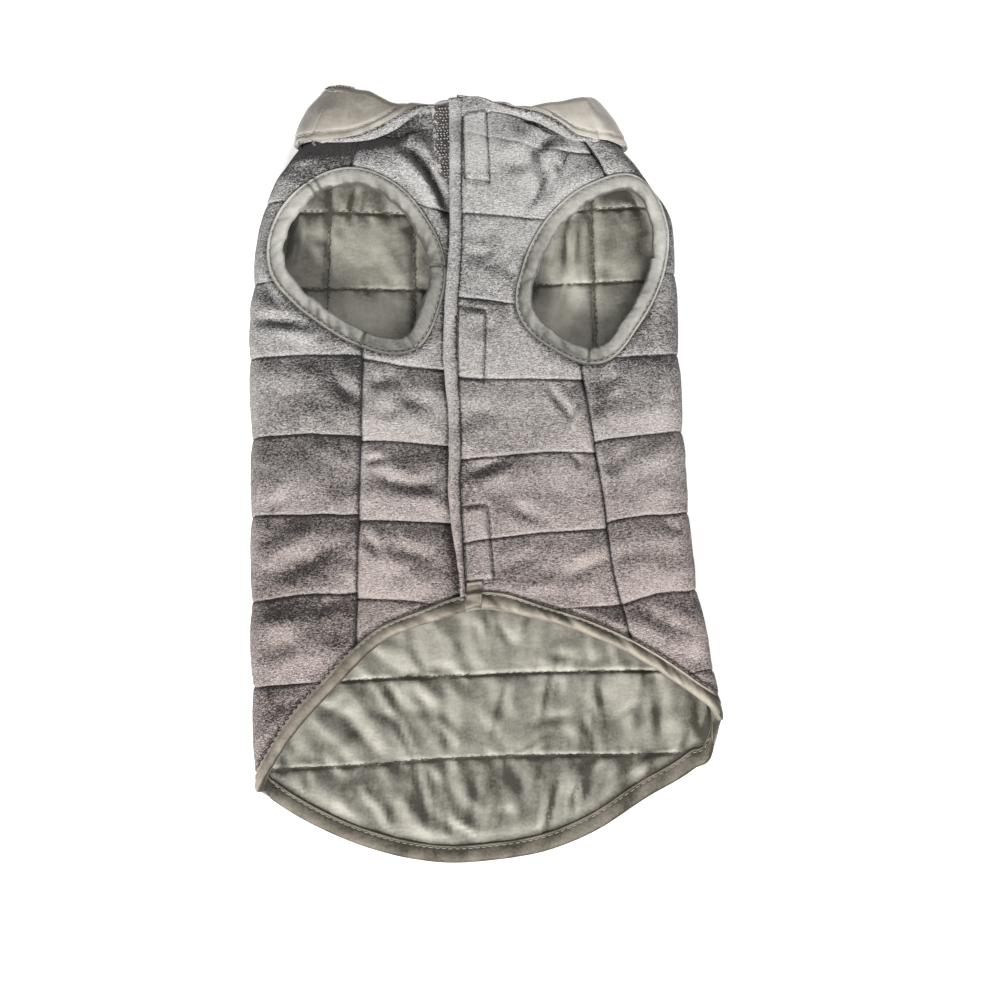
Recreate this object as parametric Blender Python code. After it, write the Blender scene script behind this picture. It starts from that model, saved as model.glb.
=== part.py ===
"""A quilted plush dog vest, closed and laid flat on its back with the belly side up.

The vest is a flattened tube of cloth. The back lies on the surface and wraps round two side folds to
the side seams. Two belly panels close it with a lapped front. +Y points to the neck, +X to the side of
the panel that laps over, and the tube is open at the neck, the hem and the two armholes.
Sizes are in millimetres. Each mesh is written in metres.
"""

from collections import namedtuple

import bmesh
import bpy
import numpy as np

MM = 0.001

# Cloth
PLUSH = 2.4  # wall of the quilted plush shell
LINING = 1.0  # wall of a lining
COLLAR = 1.5  # wall of the collar's plush side
BELLY = 2.6  # wall of a belly panel, its own lining included
GAP = 0.3  # between pieces that touch
BINDING = 8.5  # width of a bound edge
BINDING_RISE = 0.7  # how far a binding stands proud of its panel, outside and inside

# The lapped front
LAP = 22.0  # how far the under panel reaches below the over panel
LAP_STEP = 4.4  # each belly panel is moved this far apart where they lap
UNDER_SLOPE = 18.0  # width over which the under panel sinks
OVER_SLOPE = 45.0  # width over which the over panel rises
BAND = 7.0  # width of the rolled band on the over panel's edge
BAND_TOP = 9.5  # how far the band runs up past the neck seam
BAND_STATIONS = 18
BandPoint = namedtuple("BandPoint", "across rise")  # a share of the band's width, and off the panel
BAND_PROFILE = [
    BandPoint(0.0, -2.4),
    BandPoint(0.0, -0.4),
    BandPoint(0.2, 1.0),
    BandPoint(0.75, 1.0),
    BandPoint(0.97, -0.3),
    BandPoint(0.9, -2.2),
    BandPoint(0.6, -2.7),
]
TAPE = 1.1  # thickness of a hook or loop tape
TAPE_ENDS = 5.0  # a tape takes no point of its panel's nearer than this to its own ends

# The tab at the lower end of the lap
TAB = 1.2  # its thickness
TAB_SIDES = (-6, 4.5)
TAB_LENGTH = 9.0
TAB_POINTS = 4  # across it and along it

# Where the tube's side folds lie at each height, the surface below it, its thickness beside the folds,
# and how much more it has in the middle.
Section = namedtuple("Section", "y left right base height crown")
SECTIONS = [
    Section(-200, -116, 116, 0.0, 12, 0.5),
    Section(-155, -116, 116, 0.0, 12, 1.0),
    Section(-130, -116, 115, 0.0, 12, 2.0),
    Section(-100, -115.5, 111, 0.0, 13.5, 2.0),
    Section(-60, -114.5, 106, 0.0, 14.5, 2.0),
    Section(-20, -113, 105, 0.0, 15, 2.5),
    Section(20, -111, 105.5, 0.0, 16, 2.5),
    Section(60, -110.5, 106, 0.0, 17.5, 2.5),
    Section(100, -107, 107, 0.0, 20, 3.0),
    Section(125, -103, 105, 0.6, 20.5, 3.0),
    Section(145, -95.5, 92, 4.5, 18, 3.0),
    Section(160, -85, 80.5, 6.9, 17, 3.0),
    Section(175, -72, 71, 7.1, 15, 3.0),
    Section(190, -60, 62, 7.1, 14, 3.0),
]
FOLD_SHAPE = 1.1  # width of a side fold in plan, over half its thickness

# The hem is a deep curve on the back and an arch on the belly.
Hem = namedtuple("Hem", "x back belly")
HEM = [
    Hem(-115, -155, -155),
    Hem(-100, -166, -133),
    Hem(-75, -180, -107),
    Hem(-50, -189.5, -85.5),
    Hem(-25, -194.5, -77),
    Hem(0, -194.5, -72),
    Hem(25, -191.5, -78),
    Hem(50, -183, -87),
    Hem(75, -169, -100.5),
    Hem(100, -154, -119),
    Hem(115, -133, -133),
]
HEM_REACH = 4.0  # the hem's slope is taken over this width
HEM_STEEPEST = 1.5  # an inset grows to no more than this many times itself on a slope

# The neck seam dips on each side of the lapped front and climbs to the shoulders.
Neck = namedtuple("Neck", "x back belly")
NECK = [
    Neck(-63, 184, 184),
    Neck(-50, 182, 181),
    Neck(-37, 180, 168.5),
    Neck(-11, 178, 172.5),
    Neck(5, 176, 175.5),
    Neck(17, 175, 177),
    Neck(30, 174, 175),
    Neck(43, 173, 167.5),
    Neck(60, 172, 165),
    Neck(72, 171, 171),
]

# The side seams run on past the armholes as the shoulder seams. The lap is the over panel's edge.
Line = namedtuple("Line", "y left_seam right_seam lap")
LINES = [
    Line(-150, -66, 78, -5),
    Line(-90, -63.5, 72, -6),
    Line(-55, -61, 65.5, -8),
    Line(-20, -58.5, 63, -11),
    Line(25, -55, 58.5, -12),
    Line(60, -53, 56, -11),
    Line(100, -54, 66, -8.5),
    Line(145, -56, 73.5, -5),
    Line(160, -52, 65.5, -4),
    Line(190, -42, 46, -2),
]

# Armholes: the outer edge of the binding, as a radius at each angle about the hole's middle.
LEFT_ARMHOLE = (-55, 105)
RIGHT_ARMHOLE = (66, 97)
Armhole = namedtuple("Armhole", "angle left right")
ARMHOLES = [
    Armhole(0, 46, 36.5),
    Armhole(30, 43.5, 44),
    Armhole(60, 45.5, 51),
    Armhole(90, 48.5, 41.5),
    Armhole(120, 47.5, 35),
    Armhole(150, 46, 33.5),
    Armhole(180, 43, 37),
    Armhole(210, 36.5, 46.5),
    Armhole(240, 35.5, 48),
    Armhole(270, 42, 50),
    Armhole(300, 53.5, 38.5),
    Armhole(330, 48.5, 34.5),
]
ARMHOLE_STATIONS = 32
CUT_FLOOR = 8.5  # the armholes open only what lies above this height
CUT_CEILING = 60.0

# The collar at stations round the neck: a stand rises from the seam to its crest, folds over by a share
# of half a turn, and falls with a bow to its free edge. A station
# counts round the neck from the under panel's lap, by the left fold, back and right fold.
CollarRow = namedtuple("CollarRow", "station crest_x crest_y crest_z fold edge_x edge_y edge_z bow")
COLLAR_ROWS = [
    CollarRow(0.0, 19.2, 180, 20.6, 0, 19.2, 183.5, 21, 0),
    CollarRow(0.2, 5.8, 180.5, 21.2, 0, 5.8, 184.5, 21.6, 0),
    CollarRow(0.36, -5, 181, 22, 0, -5, 185, 22.5, 0),
    CollarRow(0.45, -11.5, 180.5, 24, 0.08, -11.5, 184, 24.8, 0),
    CollarRow(0.5, -15.5, 180, 25.4, 0.26, -15.2, 183.4, 27.5, 0),
    CollarRow(0.56, -20.5, 179.6, 26.1, 0.5, -20, 181.4, 29.8, 0.1),
    CollarRow(0.63, -26.5, 179.6, 26.5, 0.75, -26.6, 178, 31, 0.3),
    CollarRow(0.7, -31.5, 180.5, 26.4, 0.93, -33.5, 174.5, 30, 0.6),
    CollarRow(0.78, -37, 184, 26, 1, -41.5, 171.5, 28.5, 0.9),
    CollarRow(0.86, -42, 187.5, 25.2, 1, -49, 169.5, 27, 1.2),
    CollarRow(0.94, -46.5, 189, 24.4, 1, -57, 168.5, 26, 1.4),
    CollarRow(1.0, -50.5, 190.3, 24, 1, -63, 168.5, 25.6, 1.6),
    CollarRow(1.5, -57, 191.5, 22.8, 1, -72, 168.5, 24.4, 2),
    CollarRow(2.0, -61, 192.2, 19.5, 1, -78.5, 168.5, 20.5, 2.5),
    CollarRow(2.5, -62.5, 192.8, 13.5, 1, -81, 168.5, 12.5, 3),
    CollarRow(3.0, -59, 192, 5, 1, -75, 168, 3.4, 0),
    CollarRow(3.4, -45, 191, 5, 1, -58, 166, 3.4, 0),
    CollarRow(4.0, 0, 187, 5, 1, 0, 161, 3.4, 0),
    CollarRow(4.6, 44, 183, 5, 1, 56, 158, 3.4, 0),
    CollarRow(5.0, 64, 181, 5, 1, 80, 158, 3.4, 0),
    CollarRow(5.5, 68.5, 180, 13.5, 1, 84.5, 157.5, 12.5, 2),
    CollarRow(6.0, 66.5, 178.5, 21.5, 1, 82.5, 158.5, 21.5, 2),
    CollarRow(6.2, 66, 178, 23.5, 1, 78, 158.5, 24.4, 1.8),
    CollarRow(6.6, 64, 178, 24.2, 1, 72, 158.5, 25.6, 1.5),
    CollarRow(7.0, 60.5, 177.5, 24.6, 1, 66.5, 159, 26.8, 1),
    CollarRow(7.1, 56.5, 177, 25, 1, 62, 161, 27.8, 0.8),
    CollarRow(7.2, 51.5, 176.5, 25.4, 1, 57, 165.5, 29.2, 0.6),
    CollarRow(7.3, 46, 176, 25.6, 0.95, 51, 170.2, 30.2, 0.4),
    CollarRow(7.4, 39.5, 175.5, 25.8, 0.85, 43, 174.2, 31, 0.2),
    CollarRow(7.5, 33, 176.5, 26.4, 0.6, 34, 177.5, 31.2, 0),
    CollarRow(7.58, 27.5, 178, 27, 0.3, 27.5, 180.8, 29.8, 0),
    CollarRow(7.68, 19.5, 179, 27.6, 0.05, 19.5, 182, 28.2, 0),
    CollarRow(7.8, 12, 180, 28.5, 0, 12, 183.5, 28.9, 0),
    CollarRow(8.0, 4, 180.5, 30, 0, 4, 184.5, 30.5, 0),
]
COLLAR_SLOPE = 0.12  # how the stand rises from the panels at the front
TAPE_CLEARANCE = 0.03  # how much the top tapes' slope differs from the collar's
NECK_GAP = 1.6  # the collar starts this far above the panels' edge
COLLAR_STATIONS = 44
COLLAR_PASSES = 8
COLLAR_STEPS = (1, 4, 2)  # along the stand, the fold and the fall
COLLAR_REACH = 0.05  # the collar's direction is taken over this much of a station
ROLL = 1.9  # radius of the fold
FOLD_POINTS = 13
FOLD_REACH = 1.5  # the fold's steps take in this much of the stand and of the fall

# Where the columns of points lie: across the under panel, across the over panel, and round the back
# as laps of the fold, whose whole numbers wrap() explains. The tapes use some of the panels' columns.
PANEL_ROWS = 17
MEETING_STEPS = 30
UNDER_COLUMNS = [0, 0.2, 0.4, 0.55, 0.64, 0.72, 0.8, 0.87, 0.95, 1]
OVER_COLUMNS = [0, 0.12, 0.25, 0.45, 0.65, 0.85, 1]
WRAP_COLUMNS = [0, 0.5, 1, 1.2, 1.4, 1.6, 1.8, *np.linspace(2, 4, 13), 4.2, 4.4, 4.6, 4.8, 5, 5.5, 6]
LOOP_COLUMNS = slice(0, 3)  # of the over panel

# Hook tapes lie on the under panel's hook columns and loop tapes below the over panel.
Tape = namedtuple("Tape", "name low high hook_columns")
TAPES = [
    Tape("top", 143, 184, slice(3, 7)),
    Tape("middle", 42, 78, slice(5, 9)),
    Tape("low", -58, -22, slice(5, 9)),
]

SHARP = 40  # edges that turn more than this many degrees are shaded sharp
PLUSH_COLOUR = (0.29, 0.26, 0.25)
LINING_COLOUR = (0.33, 0.31, 0.26)
TAPE_COLOUR = (0.12, 0.11, 0.10)


def clear_scene():
    for old in list(bpy.data.objects):
        bpy.data.objects.remove(old, do_unlink=True)


def fabric(name, colour, roughness):
    material = bpy.data.materials.new(name)
    material.use_nodes = True
    shader = material.node_tree.nodes["Principled BSDF"]
    shader.inputs["Base Color"].default_value = (*colour, 1)
    shader.inputs["Roughness"].default_value = roughness
    shader.inputs["Metallic"].default_value = 0.0
    return material


def through(places, values, at):
    """A smooth curve through the values at their places, read at one or more others."""
    places, values = np.asarray(places, float), np.asarray(values, float)
    slopes = np.gradient(values, places)
    at = np.clip(at, places[0], places[-1])
    i = np.clip(np.searchsorted(places, at) - 1, 0, len(places) - 2)
    step = places[i + 1] - places[i]
    t = (at - places[i]) / step
    start = (2 * t**3 - 3 * t**2 + 1) * values[i] + (t**3 - 2 * t**2 + t) * step * slopes[i]
    end = (3 * t**2 - 2 * t**3) * values[i + 1] + (t**3 - t**2) * step * slopes[i + 1]
    return start + end


def read(table, name, at):
    """The named column of a table, at a place along its first column."""
    return through([row[0] for row in table], [getattr(row, name) for row in table], at)


def ease(t):
    t = np.clip(t, 0, 1)
    return t * t * (3 - 2 * t)


# The form of the tube


def section(y):
    at = Section(y, *(read(SECTIONS, name, y) for name in Section._fields[1:]))
    return at._replace(base=max(at.base, 0))


def fold_width(at):
    return FOLD_SHAPE * at.height / 2


def top(x, y, panel):
    """Height of the tube's upper side: over or under is a belly panel beside the lap."""
    at = section(y)
    middle, half = (at.left + at.right) / 2, (at.right - at.left) / 2
    flat = half - fold_width(at)
    into_fold = np.clip((abs(x - middle) - flat) / fold_width(at), 0, 1)
    side = at.base + at.height / 2 * (1 + np.sqrt(1 - into_fold**2))
    side += at.crown * (1 - np.clip(abs(x - middle) / flat, 0, 1) ** 2)
    from_lap = x - read(LINES, "lap", y)
    if panel == "under":
        side -= LAP_STEP * ease((from_lap + UNDER_SLOPE) / UNDER_SLOPE)
    if panel == "over":
        side += LAP_STEP * (1 - ease(from_lap / OVER_SLOPE))
    return side


def wrap(lap):
    """A column of the back: from the right seam (0) by the right fold (1 to 2), across the back (2 to 4)
    and by the left fold (4 to 5) to the left seam (6). It gives x, z and whether it is on the belly side."""

    def column(y):
        at = section(y)
        fold = fold_width(at)
        inner_left, inner_right = at.left + fold, at.right - fold
        if lap < 1:
            seam = read(LINES, "right_seam", y) + GAP / 2
            x = seam + (inner_right - seam) * lap
            return x, top(x, y, "back"), True
        if lap <= 2:
            angle = np.pi * (1.5 - lap)
            x = inner_right + fold * np.cos(angle)
            return x, at.base + at.height / 2 * (1 + np.sin(angle)), lap < 1.5
        if lap < 4:
            return inner_right + (inner_left - inner_right) * (lap - 2) / 2, at.base, False
        if lap <= 5:
            angle = np.pi * (lap - 4.5)
            x = inner_left - fold * np.cos(angle)
            return x, at.base + at.height / 2 * (1 + np.sin(angle)), lap > 4.5
        seam = read(LINES, "left_seam", y) - GAP / 2
        x = inner_left + (seam - inner_left) * (lap - 5)
        return x, top(x, y, "back"), True

    return column


def under(part):
    """A column of the under panel: 0 at the left seam, 1 at its hidden edge."""

    def column(y):
        seam = read(LINES, "left_seam", y) + GAP / 2
        x = seam + (read(LINES, "lap", y) + LAP - seam) * part
        return x, top(x, y, "under"), True

    return column


def over(part):
    """A column of the over panel: 0 beside its rolled band, 1 at the right seam."""

    def column(y):
        edge = read(LINES, "lap", y) + BAND + GAP
        seam = read(LINES, "right_seam", y) - GAP / 2
        x = edge + (seam - edge) * part
        return x, top(x, y, "over"), True

    return column


def hem(x, belly, inset):
    """The hem at x, moved into the cloth by inset, square to the edge."""
    name = "belly" if belly else "back"
    step = HEM_REACH / 2
    slope = (read(HEM, name, x + step) - read(HEM, name, x - step)) / HEM_REACH
    return read(HEM, name, x) + inset * min(np.hypot(1, slope), HEM_STEEPEST)


def neck(x, belly, inset):
    return read(NECK, "belly" if belly else "back", x) - inset


def meet(column, outline, inset):
    """The height at which a column meets an outline, found by going half the way there each time."""
    y = 0
    for _ in range(MEETING_STEPS):
        x, _, belly = column(y)
        y = (y + outline(x, belly, inset)) / 2
    return y


def spread(columns, rows, low, high):
    """Points of a panel: rows of them on each column, between two heights that the column gives."""
    grid = np.empty((len(columns), rows, 3))
    for i, column in enumerate(columns):
        for j, y in enumerate(np.linspace(low(column), high(column), rows)):
            x, z, _ = column(y)
            grid[i, j] = x, y, z
    return grid


def hem_edge(inset):
    return lambda column: meet(column, hem, inset)


def neck_edge(inset):
    return lambda column: meet(column, neck, inset)


# Solids


def normals(grid):
    """Directions square to the cloth, outwards: columns run left to right on the belly, rows towards +Y."""
    across, along = np.gradient(grid, axis=0), np.gradient(grid, axis=1)
    square = np.cross(across, along)
    return square / np.linalg.norm(square, axis=2, keepdims=True)


def add_object(name, vertices, faces, material):
    mesh = bpy.data.meshes.new(name)
    mesh.from_pydata([tuple(point) for point in np.asarray(vertices) * MM], [], faces)
    shape = bmesh.new()
    shape.from_mesh(mesh)
    bmesh.ops.triangulate(shape, faces=shape.faces)
    bmesh.ops.recalc_face_normals(shape, faces=shape.faces)
    shape.to_mesh(mesh)
    shape.free()
    mesh.shade_smooth()
    mesh.set_sharp_from_angle(angle=np.radians(SHARP))
    mesh.materials.append(material)
    piece = bpy.data.objects.new(name, mesh)
    bpy.context.scene.collection.objects.link(piece)
    return piece


def grid_faces(columns, rows, start, turned):
    faces = []
    for i in range(columns - 1):
        for j in range(rows - 1):
            a = start + i * rows + j
            quad = (a, a + rows, a + rows + 1, a + 1)
            faces.append(quad[::-1] if turned else quad)
    return faces


def softened(directions, passes):
    """Directions at a grid of points, each evened out with those at the stations beside it."""
    for _ in range(passes):
        padded = np.concatenate([directions[:1], directions, directions[-1:]])
        directions = padded[:-2] + 2 * padded[1:-1] + padded[2:]
        directions /= np.linalg.norm(directions, axis=2, keepdims=True)
    return directions


def wall(name, grid, outer, inner, material, passes=0):
    """A closed wall whose two sides are the panel's points moved in by outer and by inner."""
    columns, rows = grid.shape[:2]
    square = softened(normals(grid), passes)
    vertices = np.concatenate([(grid - square * d).reshape(-1, 3) for d in (outer, inner)])
    count = columns * rows
    faces = grid_faces(columns, rows, 0, False) + grid_faces(columns, rows, count, True)
    border = [i * rows for i in range(columns)]
    border += [(columns - 1) * rows + j for j in range(1, rows)]
    border += [i * rows + rows - 1 for i in range(columns - 2, -1, -1)]
    border += list(range(rows - 2, 0, -1))
    for a, b in zip(border, border[1:] + border[:1]):
        faces.append((b, a, a + count, b + count))
    return add_object(name, vertices, faces, material)


def ring(name, stations, material, closed):
    """A bar through closed sections that all have the same number of points."""
    stations = np.asarray(stations)
    count, sides = stations.shape[:2]
    faces = []
    for i in range(count if closed else count - 1):
        near, far = i * sides, (i + 1) % count * sides
        for j in range(sides):
            k = (j + 1) % sides
            faces.append((near + j, near + k, far + k, far + j))
    if not closed:
        faces.append(tuple(range(sides)))
        faces.append(tuple((count - 1) * sides + j for j in range(sides)))
    return add_object(name, stations.reshape(-1, 3), faces, material)


# Armholes


def armhole_outline(side, inset):
    """The armhole's outline in plan, moved inwards by inset."""
    middle = np.array(LEFT_ARMHOLE if side == "left" else RIGHT_ARMHOLE, float)
    angles = [row.angle for row in ARMHOLES]
    radii = [getattr(row, side) for row in ARMHOLES]
    angles = [angle - 360 for angle in angles] + angles + [angle + 360 for angle in angles]
    at = np.arange(ARMHOLE_STATIONS) * 360 / ARMHOLE_STATIONS
    radius = through(angles, radii * 3, at)
    points = middle + radius[:, None] * np.stack([np.cos(np.radians(at)), np.sin(np.radians(at))], 1)
    along = np.roll(points, -1, 0) - np.roll(points, 1, 0)
    inwards = np.stack([-along[:, 1], along[:, 0]], 1) / np.linalg.norm(along, axis=1)[:, None]
    return points + inwards * inset


def armhole_cutter(side, material):
    outline = armhole_outline(side, -GAP)
    low = [(x, y, CUT_FLOOR) for x, y in outline]
    high = [(x, y, CUT_CEILING) for x, y in outline]
    count = len(outline)
    faces = [tuple(range(count)), tuple(range(count, 2 * count))]
    faces += [(j, (j + 1) % count, (j + 1) % count + count, j + count) for j in range(count)]
    cutter = add_object("armhole_cutter_" + side, low + high, faces, material)
    cutter.hide_render = True
    cutter.display_type = "WIRE"
    return cutter


def cut(piece, cutter):
    boolean = piece.modifiers.new(cutter.name, "BOOLEAN")
    boolean.operation = "DIFFERENCE"
    boolean.object = cutter


def armhole_binding(side, material):
    """A bound edge: a flat bar that follows the panel's surface between two outlines."""
    panel = "under" if side == "left" else "over"
    stations = []
    outlines = [armhole_outline(side, inset) for inset in (GAP / 2, BINDING / 2, BINDING)]
    for outer, middle, inner in zip(*outlines):
        height = [top(*point, panel) for point in (outer, middle, inner)]
        rise, fall = BINDING_RISE, BELLY + 2 * BINDING_RISE
        stations.append(
            [
                (*outer, height[0] + rise / 2),
                (*middle, height[1] + rise),
                (*inner, height[2]),
                (*inner, height[2] - fall + rise),
                (*middle, height[1] - fall),
                (*outer, height[0] - fall + rise / 2),
            ]
        )
    ring("armhole_binding_" + side, stations, material, True)


# The other pieces


def hem_binding(material):
    """One strip round the whole hem, from the over panel's band by the back to the under panel's lap."""
    columns = [over_band] + [over(part) for part in OVER_COLUMNS]
    columns += [wrap(lap) for lap in WRAP_COLUMNS] + [under(part) for part in UNDER_COLUMNS]
    shell = spread(columns, 3, hem_edge(0), hem_edge(BINDING))
    square = normals(shell)
    back = PLUSH + LINING + GAP
    stations = []
    for i, column in enumerate(columns):
        thick = BELLY if column(shell[i, 0, 1])[2] else back
        outside = [BINDING_RISE / 2, BINDING_RISE, 0]
        inside = [thick, thick + BINDING_RISE, thick + BINDING_RISE / 2]
        points = [shell[i, j] + square[i, j] * outside[j] for j in (2, 1, 0)]
        points += [shell[i, j] - square[i, j] * inside[j] for j in (0, 1, 2)]
        stations.append(points)
    stations = np.array(stations)
    stations[..., 2] = np.maximum(stations[..., 2], 0)
    ring("hem_binding", stations, material, False)


def over_band(y):
    """The column at the outer edge of the rolled band."""
    x = read(LINES, "lap", y)
    return x, top(x, y, "over"), True


def placket_band(material):
    """The over panel's edge, rolled into a band that runs up on to the collar."""
    low, seam = meet(over_band, hem, BINDING + 4 * GAP), meet(over_band, neck, 0)
    stations = []
    for y in np.linspace(low, seam + BAND_TOP, BAND_STATIONS):
        below = min(y, seam)
        left = read(LINES, "lap", below)
        surface = top(left + BAND, below, "over") + (y - below) * COLLAR_SLOPE
        stations.append([(left + BAND * point.across, y, surface + point.rise) for point in BAND_PROFILE])
    ring("placket_band", stations, material, False)


def hem_tab(material):
    """The end of the hem's binding, folded over it below the rolled band."""
    grid = []
    for x in np.linspace(*TAB_SIDES, TAB_POINTS):
        edge = read(HEM, "belly", x)
        ys = edge + np.linspace(0, TAB_LENGTH, TAB_POINTS)
        grid.append([(x, y, top(x, y, "over") + BINDING_RISE + GAP) for y in ys])
    wall("hem_tab", np.array(grid), -TAB, 0, material)


def tape_on(name, panel, columns, row, slope, inner, material):
    """A tape on some columns of a panel, its points taken from the panel's own and moved off it. Past the
    neck edge it goes on along the collar at the slope."""
    low, high = row.low, row.high
    middles = panel[columns, :, 1].mean(axis=0)
    rows = (middles > low + TAPE_ENDS) & (middles < high - TAPE_ENDS)
    strip = []
    for column in panel[columns]:
        end = column[-1]
        beyond = max(high - end[1], 0) * np.array([0, 1, slope])
        first = [np.interp(low, column[:, 1], column[:, k]) for k in range(3)]
        last = [np.interp(high, column[:, 1], column[:, k]) for k in range(3)] + beyond
        strip.append([first, *column[rows], last])
    wall(name, np.array(strip), inner - TAPE, inner, material)


def collar_stations(neck_line):
    """Points across the collar, from the seam to the free edge, at stations evenly spaced round the neck."""
    lengths = np.linalg.norm(np.diff(neck_line[:, 1:], axis=0), axis=1)
    along = np.concatenate([[0], np.cumsum(lengths)])
    points = []
    for station in np.interp(np.linspace(0, along[-1], COLLAR_STATIONS), along, neck_line[:, 0]):
        steps = (-COLLAR_REACH, 0, COLLAR_REACH)
        before, here, after = (place_on(neck_line, station + step) for step in steps)
        up = np.array([0.0, 1.0, 0.0])
        out = np.cross(up, after - before)
        out /= np.linalg.norm(out)
        points.append(collar_section(collar_at(station), here + up * NECK_GAP, out))
    return np.array(points[::-1])


def neck_line_of(under_points, back, over_points):
    """The panels' neck edge as rows of station, x, y and z."""
    line = [(1 - part, *points[-1]) for part, points in zip(UNDER_COLUMNS, under_points)][::-1]
    line += [(7 - lap, *points[-1]) for lap, points in zip(WRAP_COLUMNS, back)][::-1]
    line += [(8 - part, *points[-1]) for part, points in zip(OVER_COLUMNS, over_points)][::-1]
    return np.array(line)


def place_on(neck_line, station):
    return np.array([np.interp(station, neck_line[:, 0], neck_line[:, k]) for k in (1, 2, 3)])


def collar_at(station):
    return CollarRow(station, *(read(COLLAR_ROWS, name, station) for name in CollarRow._fields[1:]))


def edge_of(at):
    return np.array([at.edge_x, at.edge_y, at.edge_z])


def collar_section(at, root, out):
    """Points from the seam up the stand, round the fold and down the fall to the free edge."""
    crest, edge = np.array([at.crest_x, at.crest_y, at.crest_z]), edge_of(at)
    up = crest - root
    up /= np.linalg.norm(up)
    away = out - up * (out @ up)
    away /= np.linalg.norm(away)
    angles = np.linspace(0, np.pi * np.clip(at.fold, 0, 1), FOLD_POINTS)
    arc = [crest + ROLL * (away * (1 - np.cos(angle)) + up * np.sin(angle)) for angle in angles]
    path = np.array([root, *arc, edge])
    lengths = np.concatenate([[0], np.cumsum(np.linalg.norm(np.diff(path, axis=0), axis=1))])
    stand, turn, fall = COLLAR_STEPS
    first = max(lengths[1] - FOLD_REACH, lengths[1] / 2)
    last = min(lengths[-2] + FOLD_REACH, (lengths[-2] + lengths[-1]) / 2)
    places = np.linspace(0, first, stand, endpoint=False)
    places = np.concatenate([places, np.linspace(first, last, turn, endpoint=False)])
    places = np.concatenate([places, np.linspace(last, lengths[-1], fall + 1)])
    points = np.stack([np.interp(places, lengths, path[:, k]) for k in range(3)], 1)
    fallen = np.clip((places - lengths[-2]) / (lengths[-1] - lengths[-2]), 0, 1)
    points += away * (at.bow * np.sin(np.pi * fallen))[:, None]
    return points


def main():
    clear_scene()
    plush = fabric("plush", PLUSH_COLOUR, 0.95)
    lining = fabric("lining", LINING_COLOUR, 0.7)
    tape = fabric("tape", TAPE_COLOUR, 0.9)

    low, high = hem_edge(BINDING + 3 * GAP), neck_edge(0)
    back = spread([wrap(lap) for lap in WRAP_COLUMNS], PANEL_ROWS, low, high)
    back_panel = wall("back_panel", back, 0, PLUSH, plush)
    inside = PLUSH + GAP
    back_lining = wall("back_lining", back, inside, inside + LINING, lining)

    under_points = spread([under(part) for part in UNDER_COLUMNS], PANEL_ROWS, low, high)
    over_points = spread([over(part) for part in OVER_COLUMNS], PANEL_ROWS, low, high)
    belly_left = wall("belly_left", under_points, 0, BELLY, plush)
    belly_right = wall("belly_right", over_points, 0, BELLY, plush)

    left, right = (armhole_cutter(side, lining) for side in ("left", "right"))
    for piece in (back_panel, back_lining):
        cut(piece, left)
        cut(piece, right)
    cut(belly_left, left)
    cut(belly_right, right)
    armhole_binding("left", lining)
    armhole_binding("right", lining)
    hem_binding(lining)
    placket_band(plush)
    hem_tab(lining)

    steeper, flatter = COLLAR_SLOPE + TAPE_CLEARANCE, COLLAR_SLOPE - TAPE_CLEARANCE
    for row in TAPES:
        tape_on("hook_" + row.name, under_points, row.hook_columns, row, steeper, -2 * GAP, tape)
        tape_on("loop_" + row.name, over_points, LOOP_COLUMNS, row, flatter, BELLY + 2 * GAP + TAPE, tape)

    collar = collar_stations(neck_line_of(under_points, back, over_points))
    wall("collar", collar, 0, COLLAR, plush, COLLAR_PASSES)
    lining_sides = COLLAR + GAP, COLLAR + GAP + LINING
    wall("collar_lining", collar, *lining_sides, lining, COLLAR_PASSES)


main()
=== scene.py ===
"""The looks of a quilted plush dog vest, closed and laid flat on its back with the belly side up.

The vest is a flattened tube of cloth: +Y points to the neck and +X to the side of the panel that
laps over. Each cloth piece is a thin closed shell on the form that the CAD solids have, with its
quilting, seams and creases raised or sunk from that form. Sizes are in millimetres, and meshes are
in metres.
"""

from collections import namedtuple

import bpy
import numpy as np
from mathutils import Matrix, Vector
from mathutils.bvhtree import BVHTree


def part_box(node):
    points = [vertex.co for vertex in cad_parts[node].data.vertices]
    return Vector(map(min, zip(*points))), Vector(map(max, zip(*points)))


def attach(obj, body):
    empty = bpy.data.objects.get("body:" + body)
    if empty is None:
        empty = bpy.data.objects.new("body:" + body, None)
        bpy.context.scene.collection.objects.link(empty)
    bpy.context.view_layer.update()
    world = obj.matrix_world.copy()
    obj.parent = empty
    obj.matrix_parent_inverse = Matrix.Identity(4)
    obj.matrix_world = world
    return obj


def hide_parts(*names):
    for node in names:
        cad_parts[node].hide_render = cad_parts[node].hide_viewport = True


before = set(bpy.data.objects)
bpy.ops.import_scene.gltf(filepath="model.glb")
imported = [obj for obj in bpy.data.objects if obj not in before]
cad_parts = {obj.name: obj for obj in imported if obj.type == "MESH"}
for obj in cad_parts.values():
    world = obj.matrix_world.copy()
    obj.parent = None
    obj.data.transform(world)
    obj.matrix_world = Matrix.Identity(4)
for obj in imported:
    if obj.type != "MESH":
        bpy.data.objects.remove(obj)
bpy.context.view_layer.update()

MM = 0.001


def rows_of(kind, *values):
    """A table whose rows are named tuples of this kind."""
    return [kind(*row) for row in values]


# Cloth
PLUSH = 2.4  # thickness of the quilted plush shell
LINING = 1.0
COLLAR_PLUSH = 1.5
BELLY = 2.6  # a belly panel with its own lining
LINING_THICK = 0.6  # as it is drawn
GAP = 0.3
FLOOR_GAP = 0.02  # no cloth comes nearer to the floor
BINDING = 8.5  # width of a bound edge
TUCK = 3.0  # a panel's edge runs this far inside its binding

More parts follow.
